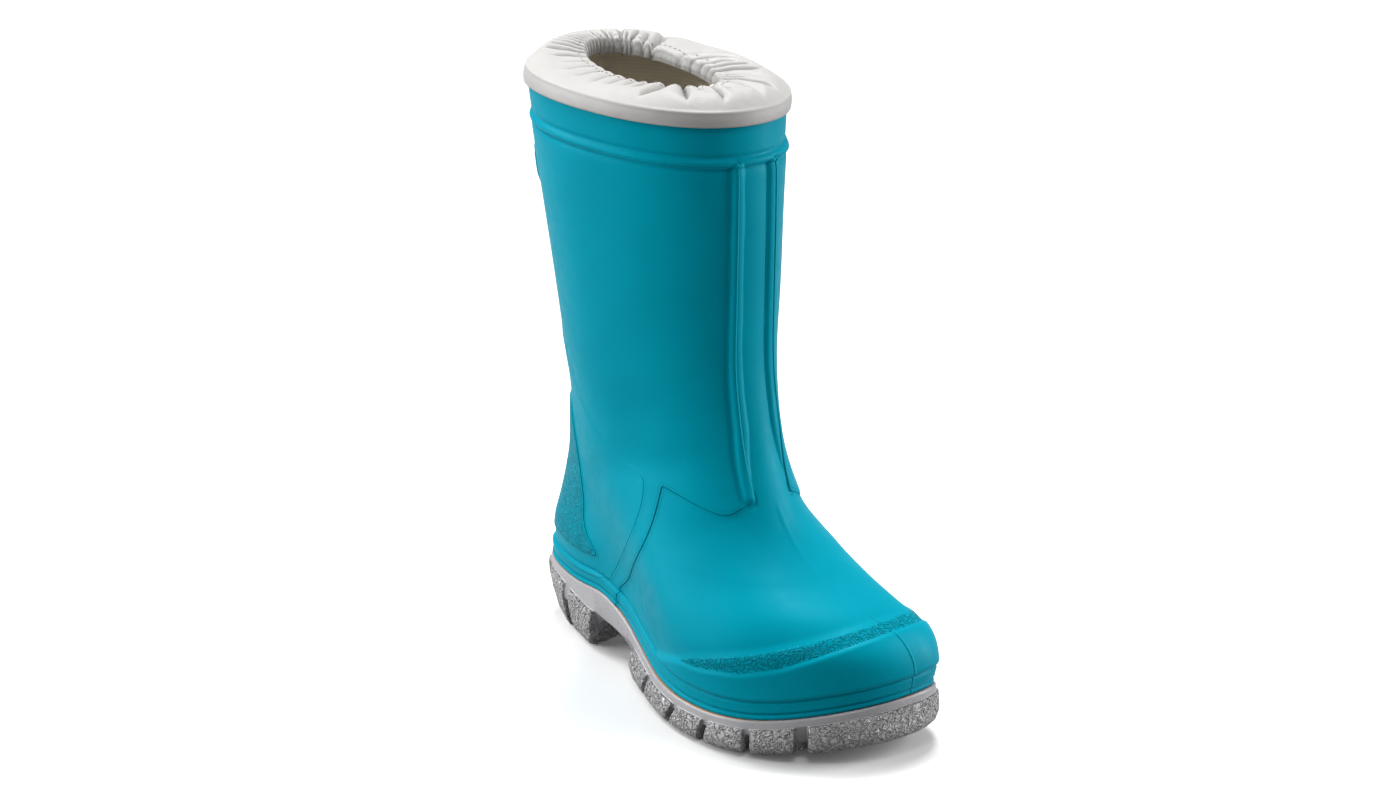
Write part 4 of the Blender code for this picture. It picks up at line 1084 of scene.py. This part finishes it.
def weave_group():
    """Threads crossing, from a surface's own UV in metres, as a height from 0 to 1."""
    tree, given, out = group_of(
        "Plain weave", [("Vector", "Cloth", None), ("Float", "Threads", 1500.0)], ["Height"])
    waves = [node(tree, "ShaderNodeTexWave", {
        "Vector": given["Cloth"], "Scale": given["Threads"], "Distortion": 0.6, "Detail": 1.0,
    }, bands_direction=direction).outputs["Fac"] for direction in ("X", "Y")]
    tree.links.new(times(tree, *waves), out["Height"])
    return tree


def mottle_group():
    """Slow change over a surface, from 0 to 1."""
    tree, given, out = group_of("Mottle", [
        ("Vector", "Place", None), ("Float", "Scale", 40.0), ("Float", "Low", 0.35), ("Float", "High", 0.65),
    ], ["Mask"])
    waves = noise(tree, given["Place"], given["Scale"], 3.0)
    tree.links.new(ramp(tree, waves, given["Low"], given["High"], kind="LINEAR"), out["Mask"])
    return tree


GROUPS = {
    "edge": moulded_edge_group(), "worms": worm_grain_group(),
    "weave": weave_group(), "mottle": mottle_group(),
}


def effect(tree, name, **values):
    made = tree.nodes.new("ShaderNodeGroup")
    made.node_tree = GROUPS[name]
    return fill(tree, made, values).outputs


def finish_for(name):
    """A material with a Principled shader: its tree, the shader and the object's own coordinates."""
    material = bpy.data.materials.new(name)
    material.use_nodes = True
    tree = material.node_tree
    shader = tree.nodes["Principled BSDF"]
    return material, tree, shader, tree.nodes.new("ShaderNodeTexCoord").outputs


def finished(tree, shader, heights, colour, roughness=None):
    """Links the colour, the roughness and the sum of the heights, in metres, to the shader."""
    height = heights[0]
    for more in heights[1:]:
        height = maths(tree, "ADD", height, more)
    bump = node(tree, "ShaderNodeBump", {"Height": height, "Distance": 1.0, "Strength": 1.0})
    tree.links.new(bump.outputs["Normal"], shader.inputs["Normal"])
    tree.links.new(colour, shader.inputs["Base Color"])
    if roughness:
        tree.links.new(roughness, shader.inputs["Roughness"])


def stored(tree, name, output):
    return node(tree, "ShaderNodeAttribute", attribute_name=name).outputs[output]


def parts_of(tree, vector):
    return node(tree, "ShaderNodeSeparateXYZ", {"Vector": vector}).outputs


TEAL, TEAL_DEEP, TEAL_WORN = (0.0, 0.250, 0.340), (0.0, 0.232, 0.318), (0.0, 0.285, 0.38)
WORN_SHARE = 0.35  # how much of the worn teal shows on the ridges of the rough patches
SEAM_RISE, SEAM_WIDTH = 0.00035, 0.0007
SEAM_START = (0.90, 0.94)  # where on the toe the seam starts and is full, in FOOT_LENGTH
# How far inside an outline a rough patch starts and is full
PATCH_EDGE, BAND_EDGE, BUMPER_EDGE = (0.0008, 0.0016), (0.0006, 0.0014), (0.0, -0.0008)
PATCH_GRAIN, PATCH_DEPTH, PATCH_LYING = 560.0, 0.0006, (1, 1, 1.7)
FINE_GRAIN, FINE_DEPTH, SLOW_WAVES, SLOW_DEPTH = 1800.0, 0.000012, 45.0, 0.00025
TEAL_CLOUDS, TEAL_SPECKS, TEAL_ROUGHNESS = 28.0, 220.0, (0.36, 0.46)
TEAL_GLOSS, TEAL_GLOSS_TINT = 0.07, (0.05, 0.75, 1, 1)


def upper_finish():
    material, tree, shader, coords = finish_for("Teal rubber")
    place_at = coords["Object"]
    panels, counter, grip = parts_of(tree, stored(tree, "edges", "Vector"))
    band, bumper, quarter = parts_of(tree, stored(tree, "bands", "Vector"))
    rises = ((panels, PANEL_RISE), (counter, PATCH_RISE), (grip, PATCH_RISE), (quarter, QUARTER_RISE))
    heights = [effect(tree, "edge", Distance=distance, Rise=rise)["Height"] for distance, rise in rises]
    rough = maths(tree, "MAXIMUM", ramp(tree, counter, *PATCH_EDGE), ramp(tree, grip, *PATCH_EDGE))
    rough = maths(tree, "MAXIMUM", rough, times(
        tree, ramp(tree, band, *BAND_EDGE), ramp(tree, bumper, *BUMPER_EDGE)))
    lying = node(tree, "ShaderNodeVectorMath", {0: place_at, 1: PATCH_LYING}, operation="MULTIPLY").outputs[0]
    worms = effect(tree, "worms", Place=lying, Scale=PATCH_GRAIN, Depth=PATCH_DEPTH)
    middle = maths(tree, "ABSOLUTE", stored(tree, "middle", "Fac"))
    toe = ramp(tree, parts_of(tree, place_at)[1], *(FORWARD - at * FOOT_LENGTH for at in SEAM_START))
    heights += [
        times(tree, worms["Height"], rough),
        times(tree, ramp(tree, middle, SEAM_WIDTH, 0.0), toe, SEAM_RISE),
        times(tree, noise(tree, place_at, FINE_GRAIN, 2.0), FINE_DEPTH),
        times(tree, noise(tree, place_at, SLOW_WAVES, 2.0), SLOW_DEPTH),
    ]
    clouds = effect(tree, "mottle", Place=place_at, Scale=TEAL_CLOUDS)["Mask"]
    specks = effect(tree, "mottle", Place=place_at, Scale=TEAL_SPECKS)["Mask"]
    worn = times(tree, worms["Ridges"], rough, WORN_SHARE)
    finished(
        tree, shader, heights, mixed(tree, worn, mixed(tree, clouds, TEAL, TEAL_DEEP), TEAL_WORN),
        ramp(tree, specks, 0.0, 1.0, *TEAL_ROUGHNESS, "LINEAR"))
    shader.inputs["Specular IOR Level"].default_value = TEAL_GLOSS
    shader.inputs["Specular Tint"].default_value = TEAL_GLOSS_TINT
    return material


# SOLE_PALE_AND_GLINT is the pale of random specks on the lugs and also a painted highlight on the ridges of
# their grain
SOLE_PALE_AND_GLINT, SOLE_DARK, SOLE_STRIP = (0.80, 0.79, 0.80), (0.21, 0.21, 0.215), (0.32, 0.315, 0.33)
GLUE, GLUE_LINE = (0.40, 0.22, 0.13), 0.00025  # the brown line of cement along the feather
LUG_EDGE = (0.3, 0.8)  # how the stored mark of a lug fades at its rim
LUG_GRAIN, LUG_DEPTH, GRIT, GRIT_DEPTH = 430.0, 0.0030, 1500.0, 0.0003
SOLE_SPECKS, SOLE_ROUGHNESS = 900.0, (0.24, 0.50)


def sole_finish():
    material, tree, shader, coords = finish_for("Grey sole rubber")
    place_at = coords["Object"]
    lugs = ramp(tree, stored(tree, "lug", "Fac"), *LUG_EDGE)
    worms = effect(tree, "worms", Place=place_at, Scale=LUG_GRAIN, Depth=LUG_DEPTH)
    heights = [
        times(tree, worms["Height"], lugs),
        times(tree, noise(tree, place_at, GRIT, 3.0), GRIT_DEPTH, lugs),
    ]
    specks = effect(tree, "mottle", Place=place_at, Scale=SOLE_SPECKS)["Mask"]
    # random specks plus painted highlights on the ridges of the lugs' grain
    specks_and_glints = times(tree, maths(tree, "ADD", worms["Ridges"], specks), 0.5)
    colour = mixed(tree, lugs, SOLE_STRIP, mixed(tree, specks_and_glints, SOLE_DARK, SOLE_PALE_AND_GLINT))
    colour = mixed(tree, ramp(tree, stored(tree, "below", "Fac"), GLUE_LINE, 0.0), colour, GLUE)
    finished(tree, shader, heights, colour, ramp(tree, specks, 0.0, 1.0, *SOLE_ROUGHNESS, "LINEAR"))
    return material


THREADS = 420.0
CUFF_WHITE, CUFF_SHADE = (0.355, 0.348, 0.340), (0.330, 0.322, 0.314)
CUFF_WEAVE, CRUMPLE, CRUMPLE_DEPTH = 0.000025, 160.0, 0.00022
CUFF_CLOUDS, CUFF_ROUGHNESS, CUFF_GLOW = 60.0, (0.48, 0.58), 0.3


def cuff_finish():
    material, tree, shader, coords = finish_for("Coated cuff cloth")
    weave = effect(tree, "weave", Cloth=coords["UV"], Threads=THREADS)["Height"]
    crumple = noise(tree, coords["Object"], CRUMPLE, 3.0, Distortion=0.5)
    clouds = effect(tree, "mottle", Place=coords["Object"], Scale=CUFF_CLOUDS)["Mask"]
    finished(
        tree, shader, [times(tree, weave, CUFF_WEAVE), times(tree, crumple, CRUMPLE_DEPTH)],
        mixed(tree, clouds, CUFF_WHITE, CUFF_SHADE), ramp(tree, clouds, 0.0, 1.0, *CUFF_ROUGHNESS, "LINEAR"))
    shader.inputs["Subsurface Weight"].default_value = CUFF_GLOW
    shader.inputs["Subsurface Radius"].default_value = (1, 1, 1)
    shader.inputs["Subsurface Scale"].default_value = CLOTH_THICK
    return material


LINING_DARK, LINING_PALE = (0.80, 0.74, 0.62), (0.92, 0.87, 0.75)
LINING_WEAVE, FUZZ, FUZZ_DEPTH = 0.00004, 900.0, 0.0001
LINING_ROUGHNESS, LINING_SHEEN = 0.9, 0.3


def knit_finish():
    material, tree, shader, coords = finish_for("Knitted lining")
    weave = effect(tree, "weave", Cloth=coords["UV"], Threads=THREADS)["Height"]
    fuzz = noise(tree, coords["Object"], FUZZ, 3.0)
    finished(
        tree, shader, [times(tree, weave, LINING_WEAVE), times(tree, fuzz, FUZZ_DEPTH)],
        mixed(tree, weave, LINING_DARK, LINING_PALE))
    shader.inputs["Roughness"].default_value = LINING_ROUGHNESS
    shader.inputs["Sheen Weight"].default_value = LINING_SHEEN
    return material


FELT, FELT_DEPTH, FELT_CLOUDS, FELT_ROUGHNESS = 700.0, 0.00025, 90.0, 0.92


def footbed_finish():
    material, tree, shader, coords = finish_for("Footbed felt")
    clouds = effect(tree, "mottle", Place=coords["Object"], Scale=FELT_CLOUDS)["Mask"]
    finished(
        tree, shader, [times(tree, noise(tree, coords["Object"], FELT, 4.0), FELT_DEPTH)],
        mixed(tree, clouds, LINING_DARK, LINING_PALE))
    shader.inputs["Roughness"].default_value = FELT_ROUGHNESS
    return material


# Stage, light and camera. The floor is darker to light that bounces than to the camera.
FLOOR_BOUNCE, FLOOR_SEEN, FLOOR_GLOW, FLOOR_SIZE = (0.25, 0.25, 0.25), (0.80, 0.80, 0.80), 0.03, 12
FLOOR_ROUGHNESS, ROOM_LIGHT = 0.8, 0.20


def make_stage():
    deselect()
    bpy.ops.mesh.primitive_plane_add(size=FLOOR_SIZE)
    floor = bpy.context.object
    floor.name = "floor"
    material, tree, shader, _ = finish_for("Pale floor")
    seen = node(tree, "ShaderNodeLightPath").outputs["Is Camera Ray"]
    tree.links.new(mixed(tree, seen, FLOOR_BOUNCE, FLOOR_SEEN), shader.inputs["Base Color"])
    tree.links.new(mixed(tree, seen, (0, 0, 0), (1, 1, 1)), shader.inputs["Emission Color"])
    shader.inputs["Emission Strength"].default_value = FLOOR_GLOW
    shader.inputs["Roughness"].default_value = FLOOR_ROUGHNESS
    floor.data.materials.append(material)
    world = bpy.data.worlds.new("Studio")
    world.use_nodes = True
    world.node_tree.nodes["Background"].inputs["Color"].default_value = (1, 1, 1, 1)
    world.node_tree.nodes["Background"].inputs["Strength"].default_value = ROOM_LIGHT
    bpy.context.scene.world = world
    bpy.context.scene.view_settings.view_transform = "Standard"


# Soft boxes: place, the point each faces, sides and power
Lamp = namedtuple("Lamp", "name place facing wide high watts")
LAMPS = (
    Lamp("left box", (-1.18, 0.79, 0.50), (0, 0, 0.12), 1.0, 1.5, 26.5),
    Lamp("right box", (1.15, -0.75, 0.50), (0, 0, 0.12), 0.4, 1.1, 21),
    Lamp("top box", (0.45, 0.40, 2.0), (0, 0, 0), 0.7, 0.7, 43),
    Lamp("back box", (-0.40, 1.15, 1.30), (0, 0, 0.05), 0.6, 0.6, 19),
    Lamp("mouth box", (-0.70, -0.80, 1.9), (0, 0.04, 0.24), 0.5, 0.5, 8),
)


def make_lamps():
    for lamp in LAMPS:
        light = bpy.data.lights.new(lamp.name, "AREA")
        light.shape = "RECTANGLE"
        light.size, light.size_y, light.energy = lamp.wide, lamp.high, lamp.watts
        holder = bpy.data.objects.new(lamp.name, light)
        bpy.context.scene.collection.objects.link(holder)
        holder.location = lamp.place
        aim = Vector(lamp.facing) - Vector(lamp.place)
        holder.rotation_euler = aim.to_track_quat("-Z", "Y").to_euler()


# The photo's viewpoint: angles round and above the boot, tilt, distance, lens and sensor in
# millimetres, and the point that it looks at
AZIMUTH, ELEVATION, ROLL = math.radians(-41.89), math.radians(19.68), math.radians(1.8)
CAMERA_DISTANCE, CAMERA_LENS, SENSOR = 1.1859, 79.2, 36.0
CAMERA_TARGET = Vector((-0.01599 + ACROSS, FORWARD - 0.100, 0.12426))


def make_camera():
    level = math.cos(ELEVATION)
    back = Vector((math.sin(AZIMUTH) * level, -math.cos(AZIMUTH) * level, math.sin(ELEVATION)))
    right = Vector((math.cos(AZIMUTH), math.sin(AZIMUTH), 0))
    up = back.cross(right)
    rolled_right = right * math.cos(ROLL) + up * math.sin(ROLL)
    rolled_up = up * math.cos(ROLL) - right * math.sin(ROLL)
    lens = bpy.data.cameras.new("camera")
    lens.lens, lens.sensor_width = CAMERA_LENS, SENSOR
    lens.clip_start, lens.clip_end = 0.05, 50
    camera = bpy.data.objects.new("camera", lens)
    turned = Matrix((rolled_right, rolled_up, back)).transposed().to_4x4()
    camera.matrix_world = Matrix.Translation(CAMERA_TARGET + back * CAMERA_DISTANCE) @ turned
    bpy.context.scene.collection.objects.link(camera)
    bpy.context.scene.camera = camera


def add(piece, finish, slot, *replaced):
    """Gives a piece its finish and its body, and hides the solids that it stands for. The slot is not used.
    """
    piece.data.materials.clear()
    piece.data.materials.append(finish)
    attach(piece, "root")
    if replaced:
        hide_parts(*replaced)


make_camera()
make_stage()
make_lamps()
upper, sole = make_upper(), make_sole()
cuff, stitch_line = make_cuff()
stitches = make_stitches(stitch_line)
lining, footbed = make_lining(), make_footbed()
add(upper, upper_finish(), "upper", "upper")
add(sole, sole_finish(), "outsole", "outsole")
white = cuff_finish()
add(cuff, white, "collar", "collar")
add(stitches, white, "collar")
add(lining, knit_finish(), "insole")
add(footbed, footbed_finish(), "insole", "insole")
